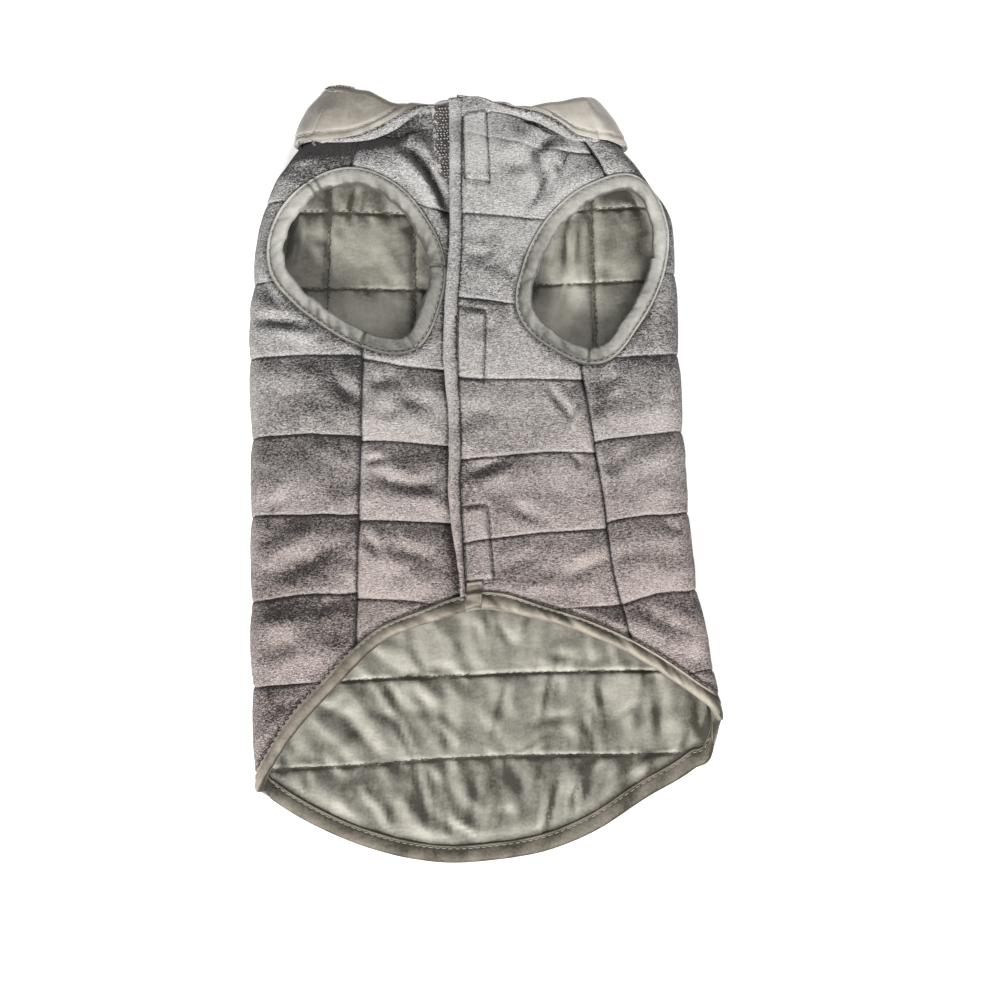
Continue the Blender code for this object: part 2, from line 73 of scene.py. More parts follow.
# The lapped front
LAP = 22.0  # how far the under panel runs on below the over panel
LAP_STEP = 4.4  # the under panel sinks by this much, and the over panel rises
UNDER_SLOPE = 30.0
OVER_SLOPE = 45.0
BAND_TOP = 11.0  # how far the rolled band runs past the neck seam

# The form of the flattened tube
Section = namedtuple("Section", "y left right base height crown")
SECTIONS = rows_of(
    Section,
    (-200, -116, 116, 0.0, 12, 0.5),
    (-155, -116, 116, 0.0, 12, 1.0),
    (-130, -116, 115, 0.0, 12, 2.0),
    (-100, -115.5, 111, 0.0, 13.5, 2.0),
    (-60, -114.5, 106, 0.0, 14.5, 2.0),
    (-20, -113, 105, 0.0, 15, 2.5),
    (20, -111, 105.5, 0.0, 16, 2.5),
    (60, -110.5, 106, 0.0, 17.5, 2.5),
    (100, -107, 107, 0.0, 20, 3.0),
    (125, -103, 105, 0.6, 20.5, 3.0),
    (145, -95.5, 92, 4.5, 18, 3.0),
    (160, -85, 80.5, 6.9, 17, 3.0),
    (175, -72, 71, 7.1, 15, 3.0),
    (190, -60, 62, 7.1, 14, 3.0),
)
FOLD_SHAPE = 1.1  # a fold's width for half its height

Hem = namedtuple("Hem", "x back belly")
HEM = rows_of(
    Hem,
    (-115, -155, -155), (-100, -166, -133), (-75, -180, -107), (-50, -189.5, -85.5),
    (-25, -194.5, -77), (0, -194.5, -72), (25, -191.5, -78), (50, -183, -87), (75, -169, -100.5),
    (100, -156, -119), (110, -148.5, -127.5), (115, -133, -133),
)
HEM_REACH = 4.0  # the hem's slope is taken over this much of x
HEM_STEEPEST = 1.5

Neck = namedtuple("Neck", "x back belly")
NECK = rows_of(
    Neck,
    (-63, 184, 184), (-50, 182, 181), (-37, 180, 168.5), (-11, 178, 172.5), (5, 176, 175.5),
    (17, 175, 177), (30, 174, 175), (43, 173, 167.5), (60, 172, 165), (72, 171, 171),
)

# The rolled band along the lap, from its left edge to its stitched right edge
BandEdge = namedtuple("BandEdge", "y left right")
BAND_EDGES = rows_of(
    BandEdge,
    (-75, -10.6, -7.4), (-55, -10.6, -7.6), (-47, -11.2, -7.9), (-37, -12.3, -7.8),
    (-27, -13.2, -7.7), (-17, -13.7, -7.6), (-7, -13.3, -7.2), (12, -11.9, -5.8), (27, -11.4, -5.4),
    (42, -12.2, -5.6), (53, -12.3, -5.5), (63, -11.7, -5.1), (73, -11.0, -4.3), (83, -10.0, -3.4),
    (93, -8.6, -1.9), (104, -7.2, -0.5), (120, -5.4, 0.6), (140, -4.3, 1.5), (160, -3.5, 2.8),
    (176, -2.6, 4.1), (195, -2.0, 4.9),
)

Line = namedtuple("Line", "y left_seam right_seam lap")
LINES = rows_of(
    Line,
    (-150, -66, 78, -5), (-90, -63.5, 72, -6), (-55, -61, 65.5, -8), (-20, -58.5, 63, -11),
    (25, -55, 58.5, -12), (60, -53, 56, -11), (100, -54, 66, -8.5), (145, -56, 73.5, -5),
    (160, -52, 65.5, -4), (190, -42, 46, -2),
)

ARMHOLE_MIDDLE = {"left": (-55, 105), "right": (66, 97)}
Armhole = namedtuple("Armhole", "angle left right")
ARMHOLES = rows_of(
    Armhole,
    (0, 46, 36.5), (30, 43.5, 44), (60, 45.5, 51), (90, 48.5, 41.5), (120, 47.5, 35),
    (150, 46, 33.5), (180, 43, 37), (210, 36.5, 46.5), (240, 35.5, 48), (270, 42, 50),
    (300, 53.5, 38.5), (330, 48.5, 34.5),
)

# The collar at stations round the neck: a stand rises from the seam to its crest, folds over by a
# share of half a turn, and falls with a bow to its free edge. A station counts round the neck from
# the under panel's lap, by the left fold, the back and the right fold, to the over panel's lap.
CollarRow = namedtuple("CollarRow", "station crest_x crest_y crest_z fold edge_x edge_y edge_z bow")
COLLAR_ROWS = rows_of(
    CollarRow,
    (0.0, 19.2, 180, 20.6, 0, 19.2, 183.5, 21, 0),
    (0.2, 5.8, 180.5, 21.2, 0, 5.8, 184.5, 21.6, 0),
    (0.36, -5, 181, 22, 0, -5, 185, 22.5, 0),
    (0.45, -11.5, 180.5, 24, 0.08, -11.5, 184, 24.8, 0),
    (0.5, -15.5, 180, 25.4, 0.26, -15.2, 183.4, 27.5, 0),
    (0.56, -20.5, 179.6, 26.1, 0.5, -20, 181.4, 29.8, 0.1),
    (0.63, -26.5, 179.6, 26.5, 0.75, -26.6, 178, 31, 0.3),
    (0.7, -31.5, 180.5, 26.4, 0.93, -33.5, 174.5, 30, 0.6),
    (0.78, -37, 184, 26, 1, -41.5, 171.5, 28.5, 0.9),
    (0.86, -42, 187.5, 25.2, 1, -49, 169.5, 27, 1.2),
    (0.94, -46.5, 189, 24.4, 1, -57, 168.5, 26, 1.4),
    (1.0, -50.5, 190.3, 24, 1, -63, 168.5, 25.6, 1.6),
    (1.5, -57, 191.5, 22.8, 1, -72, 168.5, 24.4, 2),
    (2.0, -61, 192.2, 19.5, 1, -78.5, 168.5, 20.5, 2.5),
    (2.5, -62.5, 192.8, 13.5, 1, -81, 168.5, 12.5, 3),
    (3.0, -59, 192, 5, 1, -75, 168, 3.4, 0),
    (3.4, -45, 191, 5, 1, -58, 166, 3.4, 0),
    (4.0, 0, 187, 5, 1, 0, 161, 3.4, 0),
    (4.6, 44, 183, 5, 1, 56, 158, 3.4, 0),
    (5.0, 64, 181, 5, 1, 80, 158, 3.4, 0),
    (5.5, 68.5, 180, 13.5, 1, 84.5, 157.5, 12.5, 2),
    (6.0, 66.5, 178.5, 21.5, 1, 82.5, 158.5, 21.5, 2),
    (6.2, 66, 178, 23.5, 1, 78, 159.5, 24.4, 1.8),
    (6.6, 64, 178, 24.2, 1, 72, 160.5, 25.6, 1.5),
    (7.0, 60.5, 177.5, 24.6, 1, 66.5, 161, 26.8, 1),
    (7.1, 56.5, 177, 25, 1, 61, 162.5, 27.8, 0.8),
    (7.2, 51.5, 176.5, 25.4, 1, 57, 165.5, 29.2, 0.6),
    (7.3, 46, 176, 25.6, 0.95, 51, 170.2, 30.2, 0.4),
    (7.4, 39.5, 175.5, 25.8, 0.85, 43, 174.2, 31, 0.2),
    (7.5, 33, 175.5, 26.4, 0.6, 34, 176.4, 31.2, 0),
    (7.58, 27.5, 175.8, 27, 0.3, 27.5, 178, 29.8, 0),
    (7.68, 19.5, 178, 27.6, 0.05, 19.5, 181.4, 28.2, 0),
    (7.8, 12, 180.4, 28.5, 0, 12, 184.4, 28.9, 0),
    (8.0, 2, 181.5, 30, 0, 2, 186.2, 30.5, 0),
)
COLLAR_SLOPE = 0.12  # of what runs up on to the collar
NECK_GAP = 0.2
ROLL = 1.9  # radius of the fold
COLLAR_STEPS = (9, 18, 22)  # along the stand, the fold and the fall
COLLAR_SMOOTHING = 14  # rounds
NEAR_BY = 0.05  # stations this far off give the way the collar runs
# Painted shade on the stand below the fall: how dark it is at stations
STAND_SHADE = (
    [0.1, 0.35, 0.52, 0.6, 0.9, 7.15, 7.4, 7.52, 7.62], [0, 0.42, 0.5, 0.7, 0.75, 0.75, 0.5, 0.2, 0]
)
COLLAR_SEW = 3.8  # where the topstitching runs, from the lining's edge
Lip = namedtuple("Lip", "station reach")  # how far the plush reaches past the lining
LIPS = rows_of(
    Lip,
    (0.0, 0.2), (0.46, 0.3), (0.5, 1.2), (0.55, 2.5), (0.62, 3.8), (0.7, 4.3), (0.78, 4.0),
    (0.86, 2.6), (0.94, 1.2), (1.0, 0.7), (6.9, 0.7), (7.0, 0.9), (7.1, 2.2), (7.2, 3.8),
    (7.3, 4.6), (7.4, 4.4), (7.5, 3.2), (7.56, 1.2), (7.62, 0.3), (8.0, 0.2),
)
LIP_STEPS = 5
PATCH_SHADES = (-0.25, -0.1, -0.16)  # how much darker the plush is painted inside each stitched rectangle; below zero it is painted light on the lifted cloth
SERGED = (0.98, 2.3)  # stations between which the ridge of the fold is overlocked
# The upper hook tape's left edge: its x at heights y
HOOK_LEFT = ([140, 145.5, 147.5, 151, 160, 190], [-7.0, -7.6, -9.2, -10.9, -11.6, -11.6])
HOOK_WIDTH = 10.6  # at its top
# Where tapes start and end, as shares of their CAD solids' lengths
HOOK_LOW = 0.07  # the upper hook tape
LOOP_HIGH = 0.9  # the upper loop tape
TAPE_INSET = 0.01
HOOK_STEP = 1.6  # from one hook to the next
HOOK = 0.24  # radius
HOOK_PATH = [(-0.2, 0), (0.45, 0), (0.72, 0.12), (0.78, 0.38), (0.55, 0.55)]  # how far up and over
NECK_SEAM = 171.0  # past this y a tape rises with the collar
# The angles round the armholes at which their bindings are joined or pinched
BINDING_JOINS = {"left": (112, 117, 271, 303, 356), "right": (262,)}

# Quilting: each line's number, then its heights. A belly line's are from the panel's first side to
# its other side, in thirds. A back line goes round the tube at BACK_LAPS: the right side from its
# seam to the fold, the back, and the left side to its seam.
LEFT_QUILT = [
    (-3, -178, -182, -187, -192), (-2, -141, -145, -150, -155), (-1, -102, -106, -111, -116),
    (0, -62.8, -65.5, -71, -76), (1, -24.2, -26.6, -28.4, -30), (2, 15.2, 13.4, 10.4, 7.5),
    (3, 56.2, 51.4, 48.8, 47), (4, 98, 94, 91, 88), (5, 141, 136, 130, 125),
    (6, 185, 180, 174, 170), (7, 225, 220, 214, 210),
]
RIGHT_QUILT = [
    (-3, -190, -190, -190, -190), (-2, -151, -151, -151, -151), (-1, -112, -112, -112, -112),
    (0, -74, -73.9, -74.2, -73.3), (1, -39.4, -37.5, -35.9, -35.4), (2, 1.9, 3.2, 4.1, 2.2),
    (3, 42.8, 41.5, 41.0, 39.6), (4, 83.7, 80.5, 76, 72), (5, 126.4, 123.9, 120, 115),
    (6, 167, 163, 157.5, 154), (7, 211, 208, 203, 200),
]
BACK_QUILT = [
    (-3, -196, -194, -192, -192, -193, -192, -191, -190, -189),
    (-2, -155, -152, -149.5, -148.4, -144.2, -145, -147, -146, -145),
    (-1, -114, -110.5, -108.6, -107.5, -103.6, -103, -103.7, -103.2, -103),
    (0, -73.3, -69.7, -68.6, -67, -64, -62, -61.2, -60, -60.3),
    (1, -32.2, -30.7, -30, -29, -25, -21, -19.5, -20.4, -21.4),
    (2, 8.2, 9.7, 10.8, 11.5, 14, 18, 20.5, 20, 17.4),
    (3, 47.6, 49.3, 50.4, 51, 54, 58, 60.6, 59.9, 58.1),
    (4, 88, 90, 91.3, 91.7, 92.8, 98.2, 98.5, 99, 98),
    (5, 128, 130, 131, 130.9, 132, 138.6, 139, 139, 138),
    (6, 168, 170, 171, 171, 173, 175, 179, 179, 178),
    (7, 208, 210, 211, 211, 213, 215, 219, 219, 218),
]
BELLY_THIRDS = [0, 1 / 3, 2 / 3, 1]
BACK_LAPS = [0, 0.5, 1, 2, 3, 4, 5, 5.5, 6]
QUILT_STEP = 40.0  # about how far apart the lines are

# Upright quilting on the back, from the neck down to its end
Upright = namedtuple("Upright", "top_x end_x end_y")
UPRIGHTS = rows_of(
    Upright,
    (-64, -73, 60), (-22, -27, 58), (24, 20, 56), (69, 65, 54),
)
UPRIGHT_TOP = 170.0

# Creases on the top side and on the lining below it: a soft line from one place to another, bowed
# sideways, with its half width and its height. A trough has a height below zero.
Crease = namedtuple("Crease", "x1 y1 x2 y2 bow width height")
TOP_CREASES = rows_of(
    Crease,
    # left side
    (-110, 80.5, -70, 72, 1.5, 1.8, -1.6), (-78, 68, -62, 69.5, 0.5, 1.5, -0.9),
    (-101, 96, -93, 84, 1.5, 2.2, -1.4), (-68.5, 51.5, -54, 34, -1.2, 2.4, -1.6),
    (-108, 41, -88, 43, 1.0, 4.0, -0.9), (-110, -1, -82, 16, 1.5, 5.0, -1.7),
    (-100.5, -18, -96, -9, 0.5, 2.0, -1.1), (-86, 9, -66, 0, 1.0, 4.0, -0.8),
    (-108, -53, -64, -36, 1.8, 4.2, -2.1), (-112, -34.5, -92, -26, 1.0, 3.2, -1.1),
    (-98, -44, -70, -30, 1.0, 4.0, 1.0), (-81, -70.5, -68.5, -60, 0.8, 2.4, -1.4),
    (-112, -87.5, -90, -82.5, 0.8, 3.4, -1.4), (-108, -74, -88, -68, -0.8, 3.2, 0.9),
    (-112, -120, -94, -112, 0.8, 3.2, -1.2),
    # left belly
    (-52, 43, -34, 46, 0.8, 2.4, -1.2), (-37, 36, -18, 30, 1.0, 3.0, -1.3),
    (-50, 27, -34, 30, 0.8, 2.6, -0.9), (-55, 4, -43, 6, 0.5, 1.3, -1.5),
    (-50, -3, -34, -9.7, 1.0, 2.4, -1.5), (-36, -10, -20, -6, -1.0, 2.4, -1.5),
    (-41, -19, -17, -13, 0.8, 3.2, 1.0), (-57, -30, -47, -41, -1.0, 2.0, -1.3),
    (-47, -37, -23, -47, 0.8, 2.6, -1.3), (-54, -55, -34, -53, 0.8, 3.2, -0.8),
    # right belly
    (38, 38, 51, 18, 1.0, 1.5, -1.3), (54.5, 28.5, 50.5, 15.5, 0.6, 1.1, 1.2),
    (-4, 23, 13, 26.5, 0.8, 3.0, -0.9), (-3, -6.5, 20, 2.2, 1.2, 2.0, -1.6),
    (0, -12, 22, -3, 1.0, 3.0, 0.8), (47, 3, 54.5, -4, 0.5, 1.2, -1.1),
    (16, -23, 33, -29, 0.8, 2.2, -1.2), (31, -4, 42, -22, 1.2, 4.0, -0.6),
    (6, -54.5, 31, -47, 0.8, 2.4, -1.0), (38, -60, 66, -50.5, 1.0, 2.4, -1.3),
    (18, -64.5, 40, -59.5, 0.6, 2.4, 0.8), (3, 101.5, 11, 105.5, 0.4, 2.8, -1.1),
    (3, 112, 21, 115.5, 0.4, 3.0, -0.8), (21.5, 99, 26.5, 90, 0.6, 1.6, -1.0),
    (1, 66.5, 18, 69, 0.5, 3.0, -0.7),
    # right side
    (63, 34, 75, 42, 0.8, 2.6, -1.3), (63, 27.5, 78, 30, 0.6, 2.4, -0.9),
    (66, -8.5, 79, 5, 0.8, 2.6, -1.7), (80, -14, 98, -5.5, 0.6, 3.4, -1.0),
    (91, -33, 102, -40, 0.4, 2.2, -0.9), (67, -53, 88, -44.5, 0.8, 3.2, -0.9),
    (78, -76.5, 107, -90.5, -1.6, 2.4, -1.3),
    # right chest
    (53, 167, 36, 151, -1.5, 3.0, -2.6), (37, 152.5, 24, 149, 1.0, 2.6, -1.4),
    (38.5, 155, 38, 134, 0.8, 2.2, 1.6), (45, 154, 42, 129, 0.8, 2.0, -2.0),
    (58.5, 141, 46.5, 124.5, 0.8, 2.2, 1.4), (50, 150.5, 51.3, 145, 0.2, 1.0, -1.0),
    # left shoulder strap
    (-31, 167.5, -5.0, 126, 4.5, 2.2, -3.6), (-28, 160, -7, 118, 2.2, 2.4, 1.5),
    (-82, 155, -57, 160, 1.0, 3.0, -1.0),
)
LINING_CREASES = rows_of(
    Crease,
    (2, -74, 3.5, -85, 0.4, 1.5, -1.1), (6.5, -78, 14.5, -90.5, 0.4, 1.6, -0.9),
    (35, -96, 28.5, -113, 0.4, 1.1, 1.2), (42, -95, 39, -105.5, 0.2, 1.2, -1.2),
    (61, -94, 63, -104, 0.3, 1.6, -1), (26, -94, 46, -98.5, 0.6, 2.4, -0.9),
    (-68, -107.5, -82.5, -119.5, 0.6, 2.6, -1.2), (-57, -107, -53, -116.5, 0.3, 1.4, -1.1),
    (-52.5, -110.5, -44, -124.5, 0.8, 2, 1), (-50, -105.5, -44.5, -116, 0.5, 1.4, -1.3),
    (-47, -121.5, -38.5, -142, 0.8, 1.3, -1.3), (-37.5, -109.5, -26, -122.5, 0.8, 2.2, -1),
    (-29, -117.5, -17, -138, 0.8, 2.4, 1.1), (-24.5, -127, -19, -139, 0.6, 1.6, -1.2),
    (-71, -120, -60.5, -133.5, 0.8, 3, -1.1), (8.5, -111, 5.5, -124.5, 1, 1.5, -1.5),
    (5.5, -124.5, 3, -137, -0.8, 1.5, -1.1), (29.5, -107, 23.5, -129.5, 0.8, 1.4, 1.3),
    (32.5, -106.5, 28.5, -119, 0.3, 1.1, -1.2), (24, -128.5, 42, -126.5, 1, 2.6, -1.2),
    (50, -110.5, 45.5, -125, 0.8, 1.6, -1.4), (57.5, -119.5, 49.5, -138, 0.8, 2, -1.4),
    (46, -127, 50.5, -138, 0.4, 1.8, -1), (54, -114.5, 55, -129.5, 0.6, 1.8, 1.1),
    (73.5, -120.5, 65, -129, 0.5, 1.6, -1.2), (87.5, -116.5, 83.5, -142.5, 1, 2.4, -1.6),
    (81, -118, 78, -135.5, 0.8, 1.8, 1.2), (41.5, -136.5, 38.5, -146.5, 0.3, 1.1, -1.2),
    (30.5, -135, 12.5, -144.5, 1, 1, 1), (103.5, -123.5, 104.5, -141, 0.6, 2.2, -1.7),
    (-92.5, -143.5, -89.5, -153.5, 0.3, 1.6, -1.2), (-97, -152, -89.5, -160, 0.8, 1.2, 1.1),
    (-67, -146, -73.5, -157, 0.6, 2, -1.1), (-62.5, -152, -58, -163, 0.5, 1.8, -1),
    (-45, -158, -50.5, -174, 0.6, 2.4, -1.2), (-38, -145.5, -33, -177, 1, 1.4, -1.4),
    (-35, -144.5, -29.5, -166.5, 1, 1.8, 1), (-24.5, -164, -20.5, -183.5, 0.6, 1.1, -1.3),
    (-6, -149.5, -12.5, -181, 0.8, 2.6, -1.3), (2, -158.5, -4, -177.5, 0.6, 1.6, 1),
    (7, -148, 16, -161.5, 0.6, 3.6, -1.3), (4, -167.5, -2, -184.5, 0.4, 1.1, 1.2),
    (30, -155, 20.5, -184.5, 1.4, 1.4, 1.5), (33.5, -159.5, 23.5, -184, 1.2, 1.8, -1.9),
    (55.5, -148, 39, -161.5, -1, 1.4, 1.4), (39, -159.5, 36, -176, 0.8, 1.2, 1.5),
    (42, -158, 37, -177, 0.8, 1.6, -2), (54, -153.5, 43, -163, 0.6, 3, -1.1),
    (39, -146.5, 36, -156.5, 0.3, 1.2, 1.1), (22, -148, 18.5, -162.5, 0.4, 1.6, 1.1),
    (16, -148.5, 13, -166, 0.4, 1.8, -1.1), (73, -151, 63.5, -165, 0.6, 1.8, -1.1),
    (78, -149, 74.5, -160.5, 0.5, 1.4, 1), (59, -154, 50.5, -168, 0.8, 2, -1),
    # seen through the armholes
    (58, 131, 55.5, 121, 0.3, 1.4, -2.2), (55.5, 126, 51.5, 97, 0.8, 1.5, -1.6),
    (59, 127, 55, 99, 0.8, 2.0, 1.2), (51.5, 95.5, 48.5, 83, 0.4, 1.4, -1.5),
    (37, 97, 33, 83, 0.6, 2.0, -1.8), (-52.5, 148, -57, 131, 0.3, 1.6, -2.4),
    (-83, 141, -91, 106, 1.2, 2.4, -2.2), (-87, 140, -96, 108, 1.2, 2.4, 1.4),
)

# Light and dark patches of the pile, partly where it was brushed another way and partly painted
# shade in its folds and painted light on their ridges: a soft oval, its angle, half length and
# half width, and how much darker it looks, or lighter below zero
ToneMark = namedtuple("ToneMark", "x y angle along across shade")
BRUSHED_AND_SHADED = rows_of(
    ToneMark,
    (-80, 151, -25, 23, 6, 0.35), (-93, 138, -55, 17, 4, -0.25), (-91, 77, 8, 20, 3, 0.25),
    (-84, 68, -12, 22, 4, -0.3), (-84, 54, 0, 25, 4, 0.2), (-97, 40, 30, 12, 6, -0.2),
    (-73, 31, 20, 18, 7, 0.2), (-86, 11, 2, 26, 6, 0.3), (-69, -4, 50, 12, 8, 0.2),
    (-97, -8, 28, 14, 5, -0.35), (-88, -35, 35, 22, 4, -0.35), (-82, -44, 28, 22, 4, 0.35),
    (-88, -27, 0, 23, 3, 0.15), (-90, -70, 5, 24, 6, 0.3), (-98, -92, 15, 18, 6, -0.3),
    (-73, -83, 60, 12, 6, 0.15), (-96, -114, 0, 18, 6, 0.2), (-32, 42, -5, 17, 4, 0.15),
    (-36, 22, 0, 17, 4, -0.15), (-34, 5, -4, 18, 4, 0.2), (-33, -15, -10, 15, 5, -0.12),
    (-39, -36, -25, 20, 5, 0.15), (2, -5, 30, 13, 4, 0.3), (34, 25, 0, 25, 6, -0.12),
    (34, -10, 0, 25, 7, -0.15), (20, -49, 5, 20, 5, 0.15), (49, -56, 30, 15, 4, -0.15),
    (64, 28, 80, 15, 4, 0.3), (97, 29, 80, 18, 5, -0.2), (68, 0, 50, 15, 4, 0.25),
    (89, -13, 70, 18, 7, -0.1), (80, -40, 10, 18, 5, 0.2), (83, -55, 0, 15, 4, -0.15),
    (86, -80, -10, 20, 4, 0.25), (105, -93, 70, 17, 4, -0.3), (87, 68, 60, 15, 5, 0.2),
    (100, 82, 80, 20, 4, -0.2), (12, 160, 88, 15, 4, -0.4), (33, 167, -30, 12, 3, 0.25),
    (27, 112, 20, 15, 7, -0.15), (18, 95, -30, 12, 4, 0.2), (44, 142, 80, 12, 2, -0.3),
    (51, 146, 70, 13, 3, 0.35), (67, 152, 60, 11, 4, 0.1), (-40, 157, -10, 16, 6, 0.22),
    (-19, 158.5, -52, 8, 2.6, 0.9), (-13, 147, -66, 10, 2.4, 0.9), (-7, 132, -66, 9, 2.6, 0.8),
    (-22, 150, -62, 12, 3, -0.25), (-13, 129, -62, 10, 2.6, -0.35), (-15, 166, 0, 5, 4, -0.1),
    (45, 160, 50, 7, 3.2, 0.7), (43, 141, 70, 10, 2.2, 0.85), (37.5, 131, 50, 7, 2.0, 0.7),
    (56, 148, 60, 9, 3, -0.25), (32, 141, 75, 10, 3, -0.2), (49, 134, 60, 10, 3, -0.15),
    (12, 104, 20, 10, 2.6, 0.4), (20, 99, 30, 8, 2.2, 0.3), (22, 150, -10, 12, 2.5, 0.25),
)
# The same for the lining: shadow in its folds and where the armholes and the corners of the hem
# shade it
SHADED = rows_of(
    ToneMark,
    (-49, 82, 0, 26, 11, -0.55), (-21, 110, 88, 16, 4, 0.32), (-28, 126, 0, 5, 3, 0.5),
    (-85, 127, 76, 15, 3, 0.35), (-97, 118, 80, 14, 4, -0.3), (-50, 112, 20, 14, 10, -0.12),
    (51, 82, 65, 20, 9, -1.0), (50, 118, 70, 14, 8, -0.1), (79, 119, 80, 16, 9, 0.28),
    (92, 118, 85, 16, 5, 0.5), (78, 141, -20, 20, 6, 0.8), (-50, 141, 0, 26, 6, 0.1),
    (35, 90, 75, 7, 3, 0.5), (50, 112, 78, 12, 3, 0.12), (107, -132, 80, 14, 4.5, 0.7),
    (-104, -142, 85, 9, 3.5, 0.5), (44, -163, 70, 12, 3, 0.3), (-6, -165, 60, 14, 4, 0.15),
)

# Where tape is sewn behind the over panel: x and y of the corners, in order round each stitched
# rectangle
PATCHES = [
    (4.4, 181, 16.4, 178, 16.0, 140.5, 3.6, 142.5), (-3.8, 78.5, 10.1, 76, 7.5, 41.2, -5.8, 43.5),
    (-7.2, -21.6, 5.6, -21.7, 6.7, -57.8, -7.1, -58.6),
]

ABOVE = 120.0  # a height over all the cloth

# Radius of a sewing thread, of the serging's and of a loose end
THREAD = 0.18
SERGING = 0.3
LOOSE = 0.14
LOOSE_STEPS = 28
THREAD_SIDES = 5
ASLANT = (0.06, 0.11, 1.0)  # a way that no thread runs
STITCH = 2.5  # length
STITCH_STEP = 3.3  # from the start of one to the next
# Thread ends that were left long: x, y and z where each starts, and the length of a step along it
LOOSE_ENDS = [
    (-8.5, -52, 23.5, 0.4),
    (-8.2, -56, 23.5, 0.35),
    (-112, -147, 4.5, 0.34),
    (-110, -150, 4.5, 0.3),
    (-107.5, -152.5, 4.5, 0.3),
    (-104.5, -155.5, 4.5, 0.28),
]

PILE_LIGHT_WAY = np.array([-0.3, -0.95, 0.0])  # painted light: pile that faces this way, towards the key light, is drawn lighter
SATIN_LIGHT_WAY = np.array([-0.8, -0.6, 0.0])  # painted light: satin that faces this way is drawn lighter
NAP_LOW = -0.6  # the darkest that shade makes it
UPRIGHT_SEEN = 40  # above this y the upright quilting lines look dark
FAR = 9.0  # a distance at which no line shows
NO_LINE = 1e3  # a distance to a line that isn't there
CREASE_GAIN = 1.2  # times the tables' heights
CREASE_SPREAD = 1.4  # times their half widths

# The collar's free edge, which shades the plush below it: its y at places x
COLLAR_SHADE_LEFT = (
    [-90, -70, -57, -45, -33, -25, -21, -17], [160.5, 161.5, 162.5, 163.5, 165, 167, 176, 195]
)
COLLAR_SHADE_RIGHT = (
    [22, 30, 38, 43, 51, 57, 62, 66, 75, 90],
    [190, 180, 171, 166, 162.5, 161, 160.5, 160, 159.5, 157],
)


# Curves and noise


def through(places, values, at):
    """A smooth curve through the values at their places, read at one or more others."""
    places, values = np.asarray(places, float), np.asarray(values, float)
    slopes = np.gradient(values, places)
    at = np.clip(at, places[0], places[-1])
    i = np.clip(np.searchsorted(places, at) - 1, 0, len(places) - 2)
    step = places[i + 1] - places[i]
    t = (at - places[i]) / step
    start = (2 * t**3 - 3 * t**2 + 1) * values[i] + (t**3 - 2 * t**2 + t) * step * slopes[i]
    end = (3 * t**2 - 2 * t**3) * values[i + 1] + (t**3 - t**2) * step * slopes[i + 1]
    return start + end


def read(table, name, at):
    """The named column of a table, at places along its first column."""
    return through([row[0] for row in table], [getattr(row, name) for row in table], at)


def ease(t):
    t = np.clip(t, 0, 1)
    return t * t * (3 - 2 * t)


def bell(t):
    return np.exp(-np.square(t))


def unit(vectors):
    return vectors / np.linalg.norm(vectors, axis=-1, keepdims=True)


def lengths_along(path):
    """How far along a path of points each of them is."""
    return np.concatenate([[0], np.cumsum(np.linalg.norm(np.diff(path, axis=0), axis=1))])


def noise(x, y, size, seed):
    """Smooth seeded noise from -1 to 1, whose bumps are about this size."""
    table = np.random.default_rng(seed).uniform(-1, 1, (256, 256))
    u, v = np.broadcast_arrays(np.asarray(x, float) / size + 512, np.asarray(y, float) / size + 512)
    i, j = np.floor(u).astype(int), np.floor(v).astype(int)
    f, g = ease(u - i), ease(v - j)
    i, j = i % 256, j % 256
    k, m = (i + 1) % 256, (j + 1) % 256
    low = table[i, j] * (1 - f) + table[k, j] * f
    high = table[i, m] * (1 - f) + table[k, m] * f
    return low * (1 - g) + high * g


def turned(x, y, angle):
    turn = np.radians(angle)
    return x * np.cos(turn) + y * np.sin(turn), y * np.cos(turn) - x * np.sin(turn)


def folds(x, y, angle, across, along, seed):
    """Soft folds about this far across and this long, that run at an angle and wander."""
    u, v = turned(x, y, angle)
    u, v = u + 5 * noise(x, y, 27, seed + 2), v + 5 * noise(x, y, 31, seed + 3)
    return noise(u / along, v / across, 1, seed)


def facets(x, y, size, tilt, seed):
    """Flat patches about this size, each tilted its own way and softly joined, as in crushed
    satin."""
    table = np.random.default_rng(seed).uniform(-1, 1, (4, 64, 64))
    u, v = x / size + 64, y / size + 64
    total, weight = 0.0, 0.0
    for i in (-1, 0, 1):
        for j in (-1, 0, 1):
            a, b = np.floor(u).astype(int) + i, np.floor(v).astype(int) + j
            cell = table[:, a % 64, b % 64]
            du, dv = u - a - 0.5 - 0.4 * cell[0], v - b - 0.5 - 0.4 * cell[1]
            share = np.exp(-7 * (du**2 + dv**2))
            total = total + share * tilt * size * (cell[2] * du + cell[3] * dv)
            weight = weight + share
    return total / weight


def both(a, b):
    """A signed distance to the nearer of two lines, from the signed distance to each."""
    return a * b / (np.abs(a) + np.abs(b) + 1e-6)


def counted(number, step):
    """A signed distance to the nearest whole number, with this far between them."""
    return np.sin(np.pi * number) * step / np.pi


def tone_marks(x, y, table):
    """How much darker a table's marks make the cloth."""
    total = np.zeros(np.shape(x))
    for mark in table:
        u, v = turned(x - mark.x, y - mark.y, mark.angle)
        v = v + 1.5 * noise(u, 0, 12, 17)
        total += mark.shade * bell(u / mark.along / 0.8) * bell(v / mark.across / 0.8)
    return total


